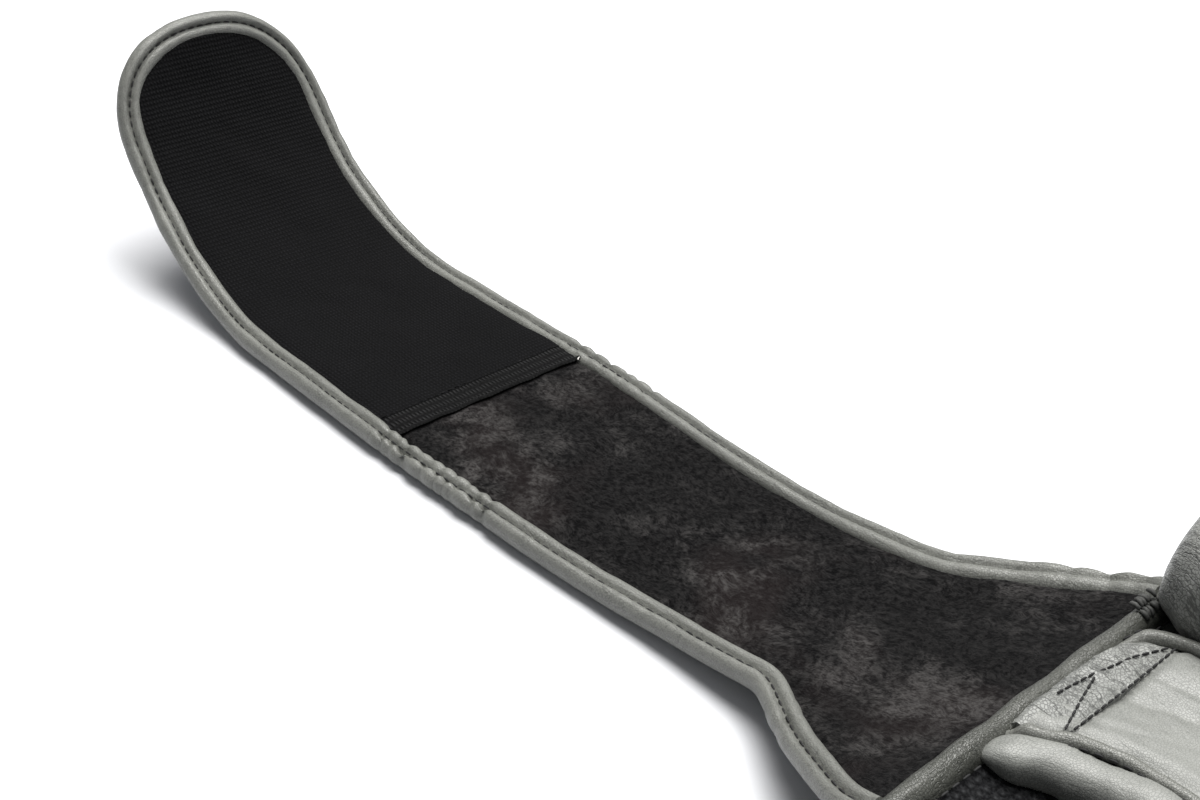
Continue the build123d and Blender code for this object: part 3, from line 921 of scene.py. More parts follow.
def swept_roll(
    name: str,
    edge: np.ndarray,
    closed: bool,
    profile: RollProfile,
    place: Callable[[np.ndarray, np.ndarray, np.ndarray], np.ndarray],
    zones: Sequence[Puckers],
    seed: int,
    width: np.ndarray | None = None,
) -> bpy.types.Object:
    """Sweeps a roll along an edge line, with its creases.

    Args:
        name: Name of the piece.
        edge: The edge in surface coordinates.
        closed: Whether the edge is a loop.
        profile: Section of the roll.
        place: Turns surface coordinates and a height into points.
        zones: Stretches with gathers.
        seed: Seed of the creases.
        width: Size share of the section at each point of the edge, 1 where it isn't given.

    Returns:
        The new piece, with surface coordinates.
    """
    section = profile.section()
    normals = outward_of(section, closed=True)
    if ((section - section.mean(0)) * normals).sum() < 0:
        normals = -normals
    outward = outward_of(edge, closed)
    along = arc_lengths(np.vstack([edge, edge[:1]]) if closed else edge)[: len(edge)]
    size = np.ones(len(edge)) if width is None else width
    upper = smooth_step(section[:, 1], section[:, 1].min() + 1 * MM, section[:, 1].max() - 2.5 * MM)
    spots = grid(along, section[:, 0])
    lumps = 0.14 * MM * ripple(spots, 22 * MM, seed + 5) + 0.03 * MM * ripple(spots, 6 * MM, seed + 6)
    share = np.where(section[:, 0] < ROLL_GROOVE, 0.5, 1.0)
    moved = (lumps - crease_depth(along, section[:, 0], zones, seed) * share) * upper[None, :]
    if not closed:
        calm = 7 * MM
        moved = moved * (smooth_step(along, 0, calm) * smooth_step(along[-1] - along, 0, calm))[:, None]
    shape = section[None] + normals[None] * moved[..., None]
    height = shape[..., 1] + (size[:, None] - 1) * np.clip(shape[..., 1], 0, None)
    plan = edge[:, None, :] + outward[:, None, :] * shape[..., :1] * size[:, None, None]
    rings = place(plan[..., 0], plan[..., 1], height)
    round_length = arc_lengths(np.vstack([section, section[:1]]))[:-1]
    uvs = grid(along, round_length)
    cap = Cap.OPEN if closed else Cap.FAN
    return tidy_normals(skin(name, rings, uvs, cap=cap, loop=closed))


def stitches(
    name: str,
    line: np.ndarray,
    pitch: float,
    length: float,
    radius: float,
    dip: float = 0.0,
) -> bpy.types.Object:
    """A row of thread stitches along a line in space, each a short bowed capsule.

    Args:
        name: Name of the piece.
        line: Points of the seam.
        pitch: Distance from one stitch to the next.
        length: Length of thread that shows.
        radius: Thread radius.
        dip: How far a stitch's ends go down.

    Returns:
        All the stitches as one piece.
    """
    places = arc_lengths(line)
    points, faces, uvs = [], [], []
    rows = ((0.0, 0.25), (0.12, 0.85), (0.5, 1.0), (0.88, 0.85), (1.0, 0.25))
    sides = 6
    for start in np.arange(pitch * 0.4, places[-1] - length, pitch):
        ends = [np.array([np.interp(start + d, places, line[:, i]) for i in range(3)]) for d in (0, length)]
        along = (ends[1] - ends[0]) / (np.linalg.norm(ends[1] - ends[0]) + 1e-12)
        across = np.cross(along, (0, 0, 1))
        across /= np.linalg.norm(across) + 1e-12
        up = np.cross(across, along)
        first = len(points)
        for share, size in rows:
            bow = 1 - (2 * share - 1) ** 2
            centre = ends[0] + along * length * share + up * (dip * (bow - 1) + radius * 0.5 * bow)
            for k in range(sides):
                angle = math.tau * k / sides
                points.append(centre + (across * math.cos(angle) + up * math.sin(angle)) * radius * size)
                uvs.append((start + length * share, radius * angle))
        for row in range(len(rows) - 1):
            for k in range(sides):
                a, b = first + row * sides + k, first + row * sides + (k + 1) % sides
                faces.append([a, b, b + sides, a + sides])
        faces.append([first + k for k in range(sides)][::-1])
        faces.append([first + (len(rows) - 1) * sides + k for k in range(sides)])
    return new_mesh(name, np.array(points), faces, np.array(uvs))


def join(name: str, pieces: Sequence[bpy.types.Object]) -> bpy.types.Object:
    """Joins mesh pieces into one."""
    bpy.ops.object.select_all(action="DESELECT")
    for piece in pieces:
        piece.select_set(True)
    bpy.context.view_layer.objects.active = pieces[0]
    bpy.ops.object.join()
    pieces[0].name = name
    return pieces[0]


# ---- waist straps -------------------------------------------------------------------------------
@dataclass
class WaistStrap:
    """One waist strap: facings, bound edge, stitches and back, in a root part and a tab part."""

    side: Side
    finishes: Finishes
    facing_step: float = 1.2 * MM
    hook_from: float = 178.5 * MM
    selvedge: float = 9 * MM
    root_hinge: float = 130.25 * MM
    fold_hinge: float = 308 * MM
    hinge_reach: float = 12 * MM
    seam_out: float = 2.9 * MM

    def place(self, s: np.ndarray, v: np.ndarray, height: np.ndarray) -> np.ndarray:
        """Points above this strap's inner face."""
        return STRAP.place(BODY, self.side, s, v, height)

    def attach(self, piece: bpy.types.Object) -> bpy.types.Object:
        """Bakes a piece's placement into its mesh."""
        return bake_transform(piece)

    def sheet_between(
        self, name: str, start: float, end: float, low: float, high: float, swell: float, seed: int
    ) -> bpy.types.Object:
        """A closed slab over the facing's width.

        Args:
            name: Name of the piece.
            start: Where it starts along the strap.
            end: Where it ends.
            low: Height of its underside above the inner face.
            high: Height of its upper side.
            swell: Size of the upper side's soft unevenness.
            seed: Seed of the unevenness.

        Returns:
            The piece, with surface coordinates along and across the strap.
        """
        end = min(end, STRAP.tip_at - 0.4 * MM)
        rows = np.linspace(0, 1, max(3, int((end - start) / self.facing_step)))
        s = start + (end - start) * rows
        if end > STRAP.tip_at - STRAP.tip_round:
            s = np.sort(np.concatenate([s, end - (end - s[-6]) * (1 - np.linspace(0, 1, 12) ** 0.5)]))
        across = np.linspace(0, 1, 58)
        reach = 0.7 * MM
        low_v, high_v = -STRAP.edge_at(s, False) - reach, STRAP.edge_at(s, True) + reach
        v = low_v[:, None] + (high_v - low_v)[:, None] * across[None, :]
        flat = np.stack([s[:, None] + 0 * v, v], -1)
        edge = np.minimum(across, 1 - across)[None, :] * (high_v - low_v)[:, None]
        sink = -0.5 * MM * (1 - smooth_step(edge, 0, 5 * MM))
        uneven = swell * (ripple(flat, 34 * MM, seed) + 0.35 * ripple(flat, 11 * MM, seed + 1))
        top = self.place(flat[..., 0], flat[..., 1], high + sink + uneven)
        bottom = self.place(flat[..., 0], flat[..., 1], np.full(flat.shape[:2], low))
        rings = slab_rings(top, bottom)
        uvs = np.concatenate([flat, flat[:, ::-1]], axis=1)
        return tidy_normals(skin(name, rings, uvs, cap=Cap.STRIP))

    def edge_parts(self) -> list[tuple[bool, np.ndarray, list]]:
        """The bound edge's runs: two at the root part and one round the tab part."""
        whole = STRAP.outline(0.7 * MM)
        split = STRAP.split_at
        low = whole[(whole[:, 1] < 0) & (whole[:, 0] <= split)]
        high = whole[(whole[:, 1] > 0) & (whole[:, 0] <= split)]
        tab = whole[whole[:, 0] >= split - 0.8 * MM]
        fold = STRAP.fold_at - split
        tab_length = arc_lengths(tab)[-1]
        root_low = [Puckers(0, split, 16 * MM, 0.16 * MM), Puckers(34 * MM, 50 * MM, 8 * MM, 0.5 * MM)]
        root_high = [
            Puckers(0, split, 15 * MM, 0.2 * MM),
            Puckers(split - 20 * MM, split + 4 * MM, 9 * MM, 0.9 * MM),
        ]
        round_tab = [
            Puckers(0, tab_length, 19 * MM, 0.12 * MM),
            Puckers(fold - 44 * MM, fold + 2 * MM, 5.2 * MM, 1.9 * MM),
            Puckers(fold + 120 * MM, tab_length - fold - 120 * MM, 9 * MM, 0.25 * MM),
            Puckers(tab_length - fold - 6 * MM, tab_length - fold + 34 * MM, 6 * MM, 0.9 * MM),
        ]
        return [(False, low, root_low), (False, high, root_high), (True, tab, round_tab)]

    def make_binding(self) -> None:
        """Builds the bound edge with its stitches."""
        word = self.side.word
        names = ("root_edge_low", "root_edge_high", "tab_edge")
        nodes = (word + "_strap_binding", word + "_strap_binding", word + "_tab_binding")
        for number, (tab, line, zones) in enumerate(self.edge_parts()):
            name = word + "_" + names[number]
            seed = 40 * self.side.value + number + 70
            width = 1 + 0.3 * (number == 1) * (1 - smooth_step(line[:, 0], 20 * MM, 80 * MM))
            roll = swept_roll(name, line, False, STRAP_ROLL, self.place, zones, seed, width)
            self.finishes.dress(roll, Finishes.BINDING)
            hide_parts(nodes[number])
            self.attach(roll)
            seam = line + outward_of(line) * self.seam_out
            height = np.full(len(seam), 0.2 * MM)
            points = self.place(seam[:, 0], seam[:, 1], height)
            thread = stitches(name + "_stitches", points, 3.2 * MM, 2.3 * MM, 0.27 * MM)
            self.finishes.dress(thread, Finishes.THREAD)
            self.attach(thread)

    def make_facings(self) -> None:
        """Builds the suede, the hook or loop facing, and the leather back."""
        word = self.side.word
        split, tip = STRAP.split_at, STRAP.tip_at
        suede_end = self.hook_from + 2 * MM if self.side is Side.LEFT else tip
        nap = (-1.2 * MM, 0.0, 0.35 * MM, 5)
        root = self.sheet_between(word + "_root_suede", -STRAP.root_tuck, split, *nap)
        middle = self.sheet_between(word + "_fold_suede", split, suede_end, *nap)
        for piece, tab in ((root, False), (middle, True)):
            self.finishes.dress(piece, Finishes.SUEDE)
            self.attach(piece)
        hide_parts(word + "_strap_suede")
        if self.side is Side.LEFT:
            self.make_hook_panel()
        else:
            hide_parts("right_tab_suede")
            self.make_loop_panel()
        back = (0.3 * MM - STRAP.thickness, -3.4 * MM, 0.0)
        root_back = self.sheet_between(word + "_root_back", -STRAP.root_tuck, split, *back, 7)
        tab_back = self.sheet_between(word + "_tab_back", split, tip, *back, 8)
        for piece, tab in ((root_back, False), (tab_back, True)):
            self.finishes.dress(piece, Finishes.STRAP_BACK)
            self.attach(piece)
        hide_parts(word + "_strap_leather", word + "_strap_core")
        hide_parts(word + "_tab_leather", word + "_tab_core")

    def make_hook_panel(self) -> None:
        """Builds the hook facing: a woven field, its ribbed selvedge and the turned-up lip."""
        start, band = self.hook_from, self.hook_from + self.selvedge
        heights = (-0.6 * MM, 0.95 * MM, 0.25 * MM, 21)
        field = self.sheet_between("left_hook_field", band - 0.5 * MM, STRAP.tip_at, *heights)
        ribs = self.sheet_between("left_hook_selvedge", start, band, -0.4 * MM, 0.8 * MM, 0.2 * MM, 21)
        for piece, finish in ((field, Finishes.HOOK), (ribs, Finishes.SELVEDGE)):
            self.finishes.dress(piece, finish)
            self.attach(piece)
        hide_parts("left_tab_hook_panel")
        at_lip = np.array([start])
        v = np.linspace(-STRAP.edge_at(at_lip, False)[0], STRAP.edge_at(at_lip, True)[0], 140)
        wander = 0.16 * MM * ripple(v[:, None], 16 * MM, 3)
        lift = 0.95 * MM + 0.12 * MM * ripple(v[:, None], 9 * MM, 4)
        angle = np.linspace(0, math.tau, 10, endpoint=False)
        s = start + wander[:, None] + 0.75 * MM * np.cos(angle)[None, :]
        height = lift[:, None] + 0.38 * MM * np.sin(angle)[None, :]
        uvs = np.stack([s, v[:, None] + 0 * s], -1)
        rings = self.place(uvs[..., 0], uvs[..., 1], height)
        lip = tidy_normals(skin("left_hook_lip", rings, uvs, cap=Cap.FAN))
        self.finishes.dress(lip, Finishes.SELVEDGE)
        self.attach(lip)
        points = self.place(band + wander * 0.4, v, np.full(len(v), 0.85 * MM))
        row = stitches("left_hook_seam_0", points, 2.6 * MM, 1.7 * MM, 0.2 * MM)
        self.finishes.dress(row, Finishes.SELVEDGE)
        self.attach(row)
        tail_v = v[-1] - np.linspace(0.4, 2.6, 7) * MM
        tail_s = start - np.array([0.2, 0.9, 1.1, 0.8, 1.2, 1.9, 2.2]) * MM
        tail = self.place(tail_s, tail_v, np.array([0.7, 1.2, 1.6, 1.5, 1.3, 1.5, 1.9]) * MM)
        end = stitches("left_hook_thread_end", tail, 1.2 * MM, 1.1 * MM, 0.22 * MM)
        self.finishes.dress(end, Finishes.PALE_THREAD)
        self.attach(end)

    def make_loop_panel(self) -> None:
        """Builds the loop facing on the outside of the right tab."""
        low, high = 0.05 * MM - STRAP.thickness, 1.3 * MM - STRAP.thickness
        start = STRAP.fold_at - 2 * MM
        panel = self.sheet_between("right_loop_field", start, STRAP.tip_at, low, high, 0.0, 31)
        self.finishes.dress(panel, Finishes.LOOP)
        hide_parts("right_tab_loop_panel")
        self.attach(panel)

    def build(self) -> None:
        """Builds the whole strap."""
        self.make_facings()
        self.make_binding()


# ---- body ---------------------------------------------------------------------------------------
Heights = Callable[[np.ndarray], np.ndarray]


@dataclass(frozen=True)
class CupShape:
    """The cup's plan and its bowl, from its centre line."""

    centre_y: float = -92 * MM
    half_x: float = 52 * MM
    half_y: float = 58 * MM
    bottom: float = 8.3 * MM
    top: float = 40 * MM
    sections: tuple = ((0.0, 0.50), (0.26, 0.82), (0.6, 0.96), (1.0, 1.0))
    skirt: tuple = ((5.8, 8.6), (6.8, 13), (6.4, 20), (5.0, 28), (3.6, 34), (2.2, 37), (0.6, 36), (0.8, 9))

    def around(self, angle: np.ndarray, extra: np.ndarray, share: np.ndarray, z: np.ndarray) -> np.ndarray:
        """Points round the cup.

        Args:
            angle: Direction from the cup's middle.
            extra: Distance beyond the cup's outside.
            share: Size share of the outside that the distance starts from.
            z: Height above the table.

        Returns:
            Points in the frame.
        """
        x = (self.half_x * share + extra) * np.cos(angle)
        y = (self.half_y * share + extra) * np.sin(angle)
        return np.stack([x, BODY.strap_y + self.centre_y + y, z + 0 * x], -1)


CUP = CupShape()


def stand(x: np.ndarray, y: np.ndarray, height: np.ndarray) -> np.ndarray:
    """Points of the body by their real place across it and their height above its outer face."""
    run = np.clip(np.abs(x) - BODY.flat_half_width, 0, None)
    inner = BODY.side_radius - height
    z = BODY.side_radius - np.sqrt(np.maximum(inner**2 - run**2, 1e-6))
    return np.stack([x, BODY.strap_y + y + 0 * x, z], -1)


@dataclass
class ProtectorBody:
    """The padded body: cover, bound edge, channel, rolls, piping, lining and cup."""

    finishes: Finishes
    lining_level: float = 8.1 * MM
    base_level: float = 8.05 * MM
    rim_inset: float = 5 * MM
    lower_line: tuple = (
        (0, -11), (60, -8.5), (84, -5), (98, -6), (109, -9.5), (112, -12.5), (118, -15.5), (122, -17)
    )
    upper_line: tuple = (
        (0, 33), (60, 34.5), (100, 36.5), (108, 36.5), (113, 34.5), (117.5, 31), (119.6, 25.5), (121, 19)
    )
    crown_line: tuple = ((0, 24.5), (70, 24), (84, 23.5), (98, 20.5), (112, 16.5), (120, 13))
    bolster_high: float = 84 * MM
    bolster_top: float = 42.1 * MM
    bolster_end: float = 123.5 * MM
    mouth_roll_end: float = 121 * MM
    channel_end: float = 118 * MM
    patch_end: float = 120.6 * MM
    rim_seam: float = 11.6 * MM
    mouth_y: float = -15 * MM
    patch_seam: float = 110.0 * MM

    def finish(self, piece: bpy.types.Object, finish: Finish, *nodes: str) -> bpy.types.Object:
        """Dresses a piece, puts it on the body, and hides the CAD nodes it stands for."""
        self.finishes.dress(piece, finish)
        if nodes:
            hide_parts(*nodes)
        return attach(piece, "body")

    def slab(
        self, name: str, x: np.ndarray, y: np.ndarray, low: np.ndarray, high: np.ndarray
    ) -> bpy.types.Object:
        """A closed slab of the body from grids of places and heights."""
        rings = slab_rings(stand(x, y, high), stand(x, y, low))
        flat = np.stack([x, y], -1)
        uvs = np.concatenate([flat, flat[:, ::-1]], axis=1)
        return tidy_normals(skin(name, rings, uvs, cap=Cap.STRIP))

    def ring_slab(
        self, name: str, inner: np.ndarray, outer: np.ndarray, low: Heights, high: Heights, steps: int
    ) -> bpy.types.Object:
        """A closed slab between two loops of the body's plan.

        Args:
            name: Name of the piece.
            inner: Inner loop, or the middle point repeated.
            outer: Outer loop, with as many points.
            low: Height of the underside, from places.
            high: Height of the upper side, from places.
            steps: Steps from the inner loop to the outer one.

        Returns:
            The piece.
        """
        share = np.linspace(0, 1, steps)[None, :, None]
        flat = inner[:, None] + (outer - inner)[:, None] * share
        top = stand(flat[..., 0], flat[..., 1], high(flat))
        bottom = stand(flat[..., 0], flat[..., 1], low(flat))
        uvs = np.concatenate([flat, flat[:, ::-1]], axis=1)
        return tidy_normals(skin(name, slab_rings(top, bottom), uvs, loop=True))

    def outward(self, line: np.ndarray) -> np.ndarray:
        """Unit normals of the body's plan that point away from its middle."""
        normals = outward_of(line, True)
        return normals if (normals * line).sum() > 0 else -normals

    def make_cover(self) -> None:
        """Builds the leather front, with a stitched seam set in from its edge."""
        line = BODY.outline(3 * MM)
        outer = line - self.outward(line) * (self.rim_inset + 2 * MM)
        middle = np.zeros_like(line) + (0, -20 * MM)
        seam_share = 0.84

        def low(flat: np.ndarray) -> np.ndarray:
            """The front face: flat, with a shallow sewn groove."""
            share = np.linspace(0, 1, flat.shape[1])[None, :]
            groove = np.exp(-(((share - seam_share) / 0.012) ** 2))
            return 0.05 * MM + 0.7 * MM * groove + 0.12 * MM * (1 + ripple(flat, 30 * MM, 41))

        def high(flat: np.ndarray) -> np.ndarray:
            """The inner face, under the lining."""
            return np.full(flat.shape[:2], self.base_level)

        cover = self.ring_slab("front_cover", middle, outer, low, high, 90)
        self.finish(cover, Finishes.BODY, "outer_cover", "foam_core")
        seam = middle + (outer - middle) * seam_share
        points = stand(seam[:, 0], seam[:, 1], np.full(len(seam), 0.35 * MM))
        thread = stitches("front_cover_stitches", np.vstack([points, points[:1]]), 4 * MM, 2.8 * MM, 0.3 * MM)
        self.finish(thread, Finishes.THREAD)

    def make_rim(self) -> None:
        """Builds the bound edge and its stitches."""
        line = BODY.outline(1 * MM)
        line = line if (outward_of(line, True) * line).sum() > 0 else line[::-1]
        total = arc_lengths(line)[-1]
        zones = [Puckers(0, total, 24 * MM, 0.3 * MM)]
        roll = swept_roll("rim_roll", line, True, RIM_ROLL, stand, zones, 90)
        self.finish(roll, Finishes.RIM, "rim_binding")
        seam = line - self.outward(line) * self.rim_seam
        points = stand(seam[:, 0], seam[:, 1], np.full(len(seam), 10.2 * MM))
        thread = stitches("rim_stitches", np.vstack([points, points[:1]]), 3.6 * MM, 2.4 * MM, 0.28 * MM)
        self.finish(thread, Finishes.THREAD)

    def channel_top(self, x: np.ndarray) -> np.ndarray:
        """Height of the padded channel's crown."""
        return self.line_at(x, self.crown_line, 6 * MM)

    def line_at(self, x: np.ndarray, stations: Line, blur: float = 2 * MM) -> np.ndarray:
        """Values at places across the body, from stations in millimetres on one side of it."""
        return smooth_line(np.abs(x), [(a * MM, b * MM) for a, b in stations], blur)

    def make_channel(self) -> None:
        """Builds the smooth channel panel between the two pipings."""
        x = np.linspace(-1, 1, 300)[:, None] * self.channel_end
        share = np.linspace(0, 1, 52)[None, :]
        low_y, high_y = self.line_at(x, self.lower_line), self.line_at(x, self.upper_line)
        y = low_y + (high_y - low_y) * share
        x = x + 0 * share
        edge = np.minimum(share, 1 - share) * (high_y - low_y)
        crown = -1.6 * MM * (1 - smooth_step(edge, 0, 6 * MM))
        flat = np.stack([x, y], -1)
        uneven = 0.45 * MM * ripple(flat, 30 * MM, 51) + 0.1 * MM * ripple(flat * (1, 2.5), 12 * MM, 52)
        seam = 0.8 * MM * np.exp(-(((np.abs(x) - self.patch_seam) / (1.1 * MM)) ** 2))
        folds = sum(
            depth * MM * np.exp(-(((y - (at + slope * (x + 100 * MM) / MM) * MM) / (width * MM)) ** 2))
            for at, slope, width, depth in ((14, 0.35, 1.4, 0.45), (22, 0.15, 1.0, 0.35), (3, 0.5, 1.2, 0.25))
        )
        top = self.channel_top(x) + crown + uneven - seam - folds * smooth_step(-x, 60 * MM, 100 * MM)
        panel = self.slab("channel_pad", x, y, np.full(x.shape, self.lining_level), top)
        self.finish(panel, Finishes.BODY, "channel_panel")

    def make_patch(self, side: Side) -> None:
        """Builds the cross-stitched patch where a waist strap is sewn on."""
        s = side.value
        across = np.linspace(0, 1, 30)[:, None]
        x = self.patch_seam + (self.patch_end - self.patch_seam) * across
        share = np.linspace(0, 1, 64)[None, :]
        low_y, high_y = self.line_at(x, self.lower_line), self.line_at(x, self.upper_line)
        low_y = low_y + 1.4 * MM + 1.5 * MM * smooth_step(across, 0.5, 1.0)
        y = low_y + (high_y - low_y) * share
        x = x + 0 * share
        edge = np.minimum(across * 0.4, 1 - across) * 10 * MM
        flat = np.stack([x, y], -1)
        swell = 0.9 * MM * smooth_step(edge, 0, 1 * MM) + 0.22 * MM * ripple(flat, 6 * MM, 61)
        end = np.minimum(share, 1 - share) * (high_y - low_y)
        top = self.channel_top(x) + swell - 1.6 * MM * (1 - smooth_step(end, 0, 6 * MM)) - 0.3 * MM
        patch = self.slab(side.word + "_strap_patch", s * x, y, np.full(x.shape, 11 * MM), top)
        self.finish(patch, Finishes.PATCH, side.word + "_patch")

        def seam(name: str, stations: Line, lift: float) -> None:
            """One stitched line over the patch, through (x, y) stations in millimetres."""
            run = resample(np.array(stations) * MM, 0.8 * MM)
            level = self.channel_top(run[:, 0]) + lift
            row = stitches(name, stand(s * run[:, 0], run[:, 1], level), 2.5 * MM, 2.0 * MM, 0.3 * MM)
            self.finish(row, Finishes.THREAD)

        word = side.word
        seam(word + "_patch_cross_a", [(110.8, -10), (114.0, 1), (116.8, 12)], 0.75 * MM)
        seam(word + "_patch_cross_b", [(116.8, 11), (114.5, 22), (110.4, 32)], 0.75 * MM)
        seam(word + "_patch_cross_c", [(118.6, -2), (117.6, 6), (116.8, 12)], 0.75 * MM)
        seam(word + "_patch_edge", [(110.2, -10.5), (110.0, 12), (110.2, 34.5)], 0.1 * MM)

    def make_piping(self, name: str, node: str, stations: Sequence[tuple], seed: int) -> None:
        """Builds one piped seam across the body, with its row of stitches.

        Args:
            name: Name of the piece.
            node: The CAD node it stands for.
            stations: (x, y) of its centre line on one side, in millimetres.
            seed: Seed of its unevenness.
        """
        x = np.arange(-120, 120.1, 0.8) * MM
        y = self.line_at(x, stations) + 0.2 * MM * ripple(x[:, None], 14 * MM, seed)
        height = self.channel_top(x) - 0.2 * MM - 3.5 * MM * smooth_step(np.abs(x), 116.5 * MM, 120 * MM)
        run = np.stack([x, y], -1)
        outward = outward_of(run) * (1 if stations is self.lower_line else -1)
        angle = np.linspace(0, math.tau, 16, endpoint=False)
        radius = 1.55 * MM * (1 + 0.05 * ripple(x[:, None], 8 * MM, seed + 1))
        spread = radius[:, None] * np.cos(angle)[None, :]
        plan = run[:, None, :] + outward[:, None, :] * spread[..., None]
        section_h = height[:, None] + radius[:, None] * np.sin(angle)[None, :]
        rings = stand(plan[..., 0], plan[..., 1], section_h)
        uvs = grid(arc_lengths(run), angle * 1.55 * MM)
        self.finish(tidy_normals(skin(name, rings, uvs, cap=Cap.FAN)), Finishes.BINDING, node)
        beside = run + outward * 1.75 * MM
        points = stand(beside[:, 0], beside[:, 1], height + 0.3 * MM)
        row = stitches(name + "_stitches", points, 3 * MM, 2.0 * MM, 0.28 * MM)
        self.finish(row, Finishes.THREAD)

    def make_roll(
        self,
        name: str,
        node: str,
        finish: Finish,
        ends: tuple[float, float],
        edges: Callable[[np.ndarray], tuple[np.ndarray, np.ndarray]],
        top: Heights,
        power: float,
        seed: int,
    ) -> None:
        """Builds a stuffed roll across the body.

        Args:
            name: Name of the piece.
            node: The CAD node it stands for.
            finish: Its finish.
            ends: Half length, and how squarely the ends close.
            edges: Gives its two edges along Y at places across the body.
            top: Height of its crown at places across the body.
            power: How square its section is.
            seed: Seed of its unevenness.
        """
        half, squareness = ends
        t = np.sin(np.linspace(-1, 1, 240) * math.pi / 2)
        x = t * half
        size = np.clip(1 - np.abs(t) ** squareness, 0.004, 1) ** (1 / 2.6)
        angle = np.linspace(0, math.tau, 72, endpoint=False)
        cosine = np.sign(np.cos(angle)) * np.abs(np.cos(angle)) ** (2 / power)
        sine = np.sign(np.sin(angle)) * np.abs(np.sin(angle)) ** (2 / power)
        low_y, high_y = edges(x)
        middle_y, half_y = (low_y + high_y)[:, None] / 2, (high_y - low_y)[:, None] / 2
        half_h = (top(x) - self.lining_level) / 2
        grid_x = x[:, None] + 0 * angle[None, :]
        y = middle_y + half_y * size[:, None] ** 0.8 * cosine[None, :]
        height = self.lining_level + half_h[:, None] * size[:, None] * (1 + sine[None, :])
        spots = np.stack([grid_x, y, height], -1)
        gather = crease_depth(x + half, angle * 3 * MM, [Puckers(0, 2 * half, 11 * MM, 0.9 * MM)], seed)
        low_side = np.clip(1 - (sine[None, :] + 1) / 1.1, 0, 1) * np.ones_like(gather)
        swell = 0.5 * MM * ripple(spots, 22 * MM, seed + 2) + 0.12 * MM * ripple(spots, 7 * MM, seed + 3)
        swell = swell - gather * low_side
        y = y + swell * cosine[None, :]
        height = np.maximum(height + swell * sine[None, :], self.lining_level)
        rings = stand(grid_x, y, height)
        uvs = np.stack([grid_x, angle[None, :] * half_y], -1)
        roll = tidy_normals(skin(name, rings, uvs, cap=Cap.FAN))
        self.finish(roll, finish, node)

    def make_rolls(self) -> None:
        """Builds the bolster along the waist edge, and the small roll at the mouth of the hollow."""

        def bolster_edges(x: np.ndarray) -> tuple[np.ndarray, np.ndarray]:
            """From the upper piped seam to the waist edge."""
            low = np.maximum(self.line_at(x, self.upper_line) + 1.2 * MM, 36 * MM)
            return low, np.full(len(x), self.bolster_high)

        def mouth_edges(x: np.ndarray) -> tuple[np.ndarray, np.ndarray]:
            """Below the lower piped seam."""
            high = self.line_at(x, self.lower_line) + 0.6 * MM
            return high - 11 * MM, high

        def bolster_top(x: np.ndarray) -> np.ndarray:
            """Level all along."""
            return np.full(x.shape, self.bolster_top)

        def mouth_top(x: np.ndarray) -> np.ndarray:
            """As high as the channel beside it."""
            return self.channel_top(x) + 0.2 * MM

        bolster = ((self.bolster_end, 34), bolster_edges, bolster_top, 2.5, 63)
        mouth = ((self.mouth_roll_end, 40), mouth_edges, mouth_top, 2.4, 67)
        self.make_roll("upper_bolster_pad", "upper_bolster", Finishes.BOLSTER, *bolster)
        self.make_roll("lower_roll_pad", "lower_roll", Finishes.BODY, *mouth)

    def make_lining(self) -> None:
        """Builds the open mesh lining between the cup and the edge of the lower half."""
        line = BODY.outline(2.5 * MM)
        outer = line - self.outward(line) * (self.rim_inset + 0.4 * MM)
        outer[:, 1] = np.minimum(outer[:, 1], self.mouth_y)
        angle = np.arctan2(outer[:, 1] - CUP.centre_y, outer[:, 0])
        half_x, half_y = CUP.half_x + 2 * MM, CUP.half_y + 2 * MM
        inner = np.stack([half_x * np.cos(angle), CUP.centre_y + half_y * np.sin(angle)], -1)

        def high(flat: np.ndarray) -> np.ndarray:
            """Slightly slack, so that it lifts off the foam in places."""
            return self.lining_level + 0.9 * MM + 0.35 * MM * (1 + ripple(flat, 18 * MM, 71))

        def low(flat: np.ndarray) -> np.ndarray:
            """The underside, one thickness below."""
            return high(flat) - 0.8 * MM

        lining = self.ring_slab("mesh_sheet", inner, outer, low, high, 30)
        following = np.roll(outer, -1, axis=0)
        area = 0.5 * abs(np.sum(outer[:, 0] * following[:, 1] - following[:, 0] * outer[:, 1]))
        area -= math.pi * half_x * half_y
        self.finish(lining, Finishes.MESH, "mesh_lining")

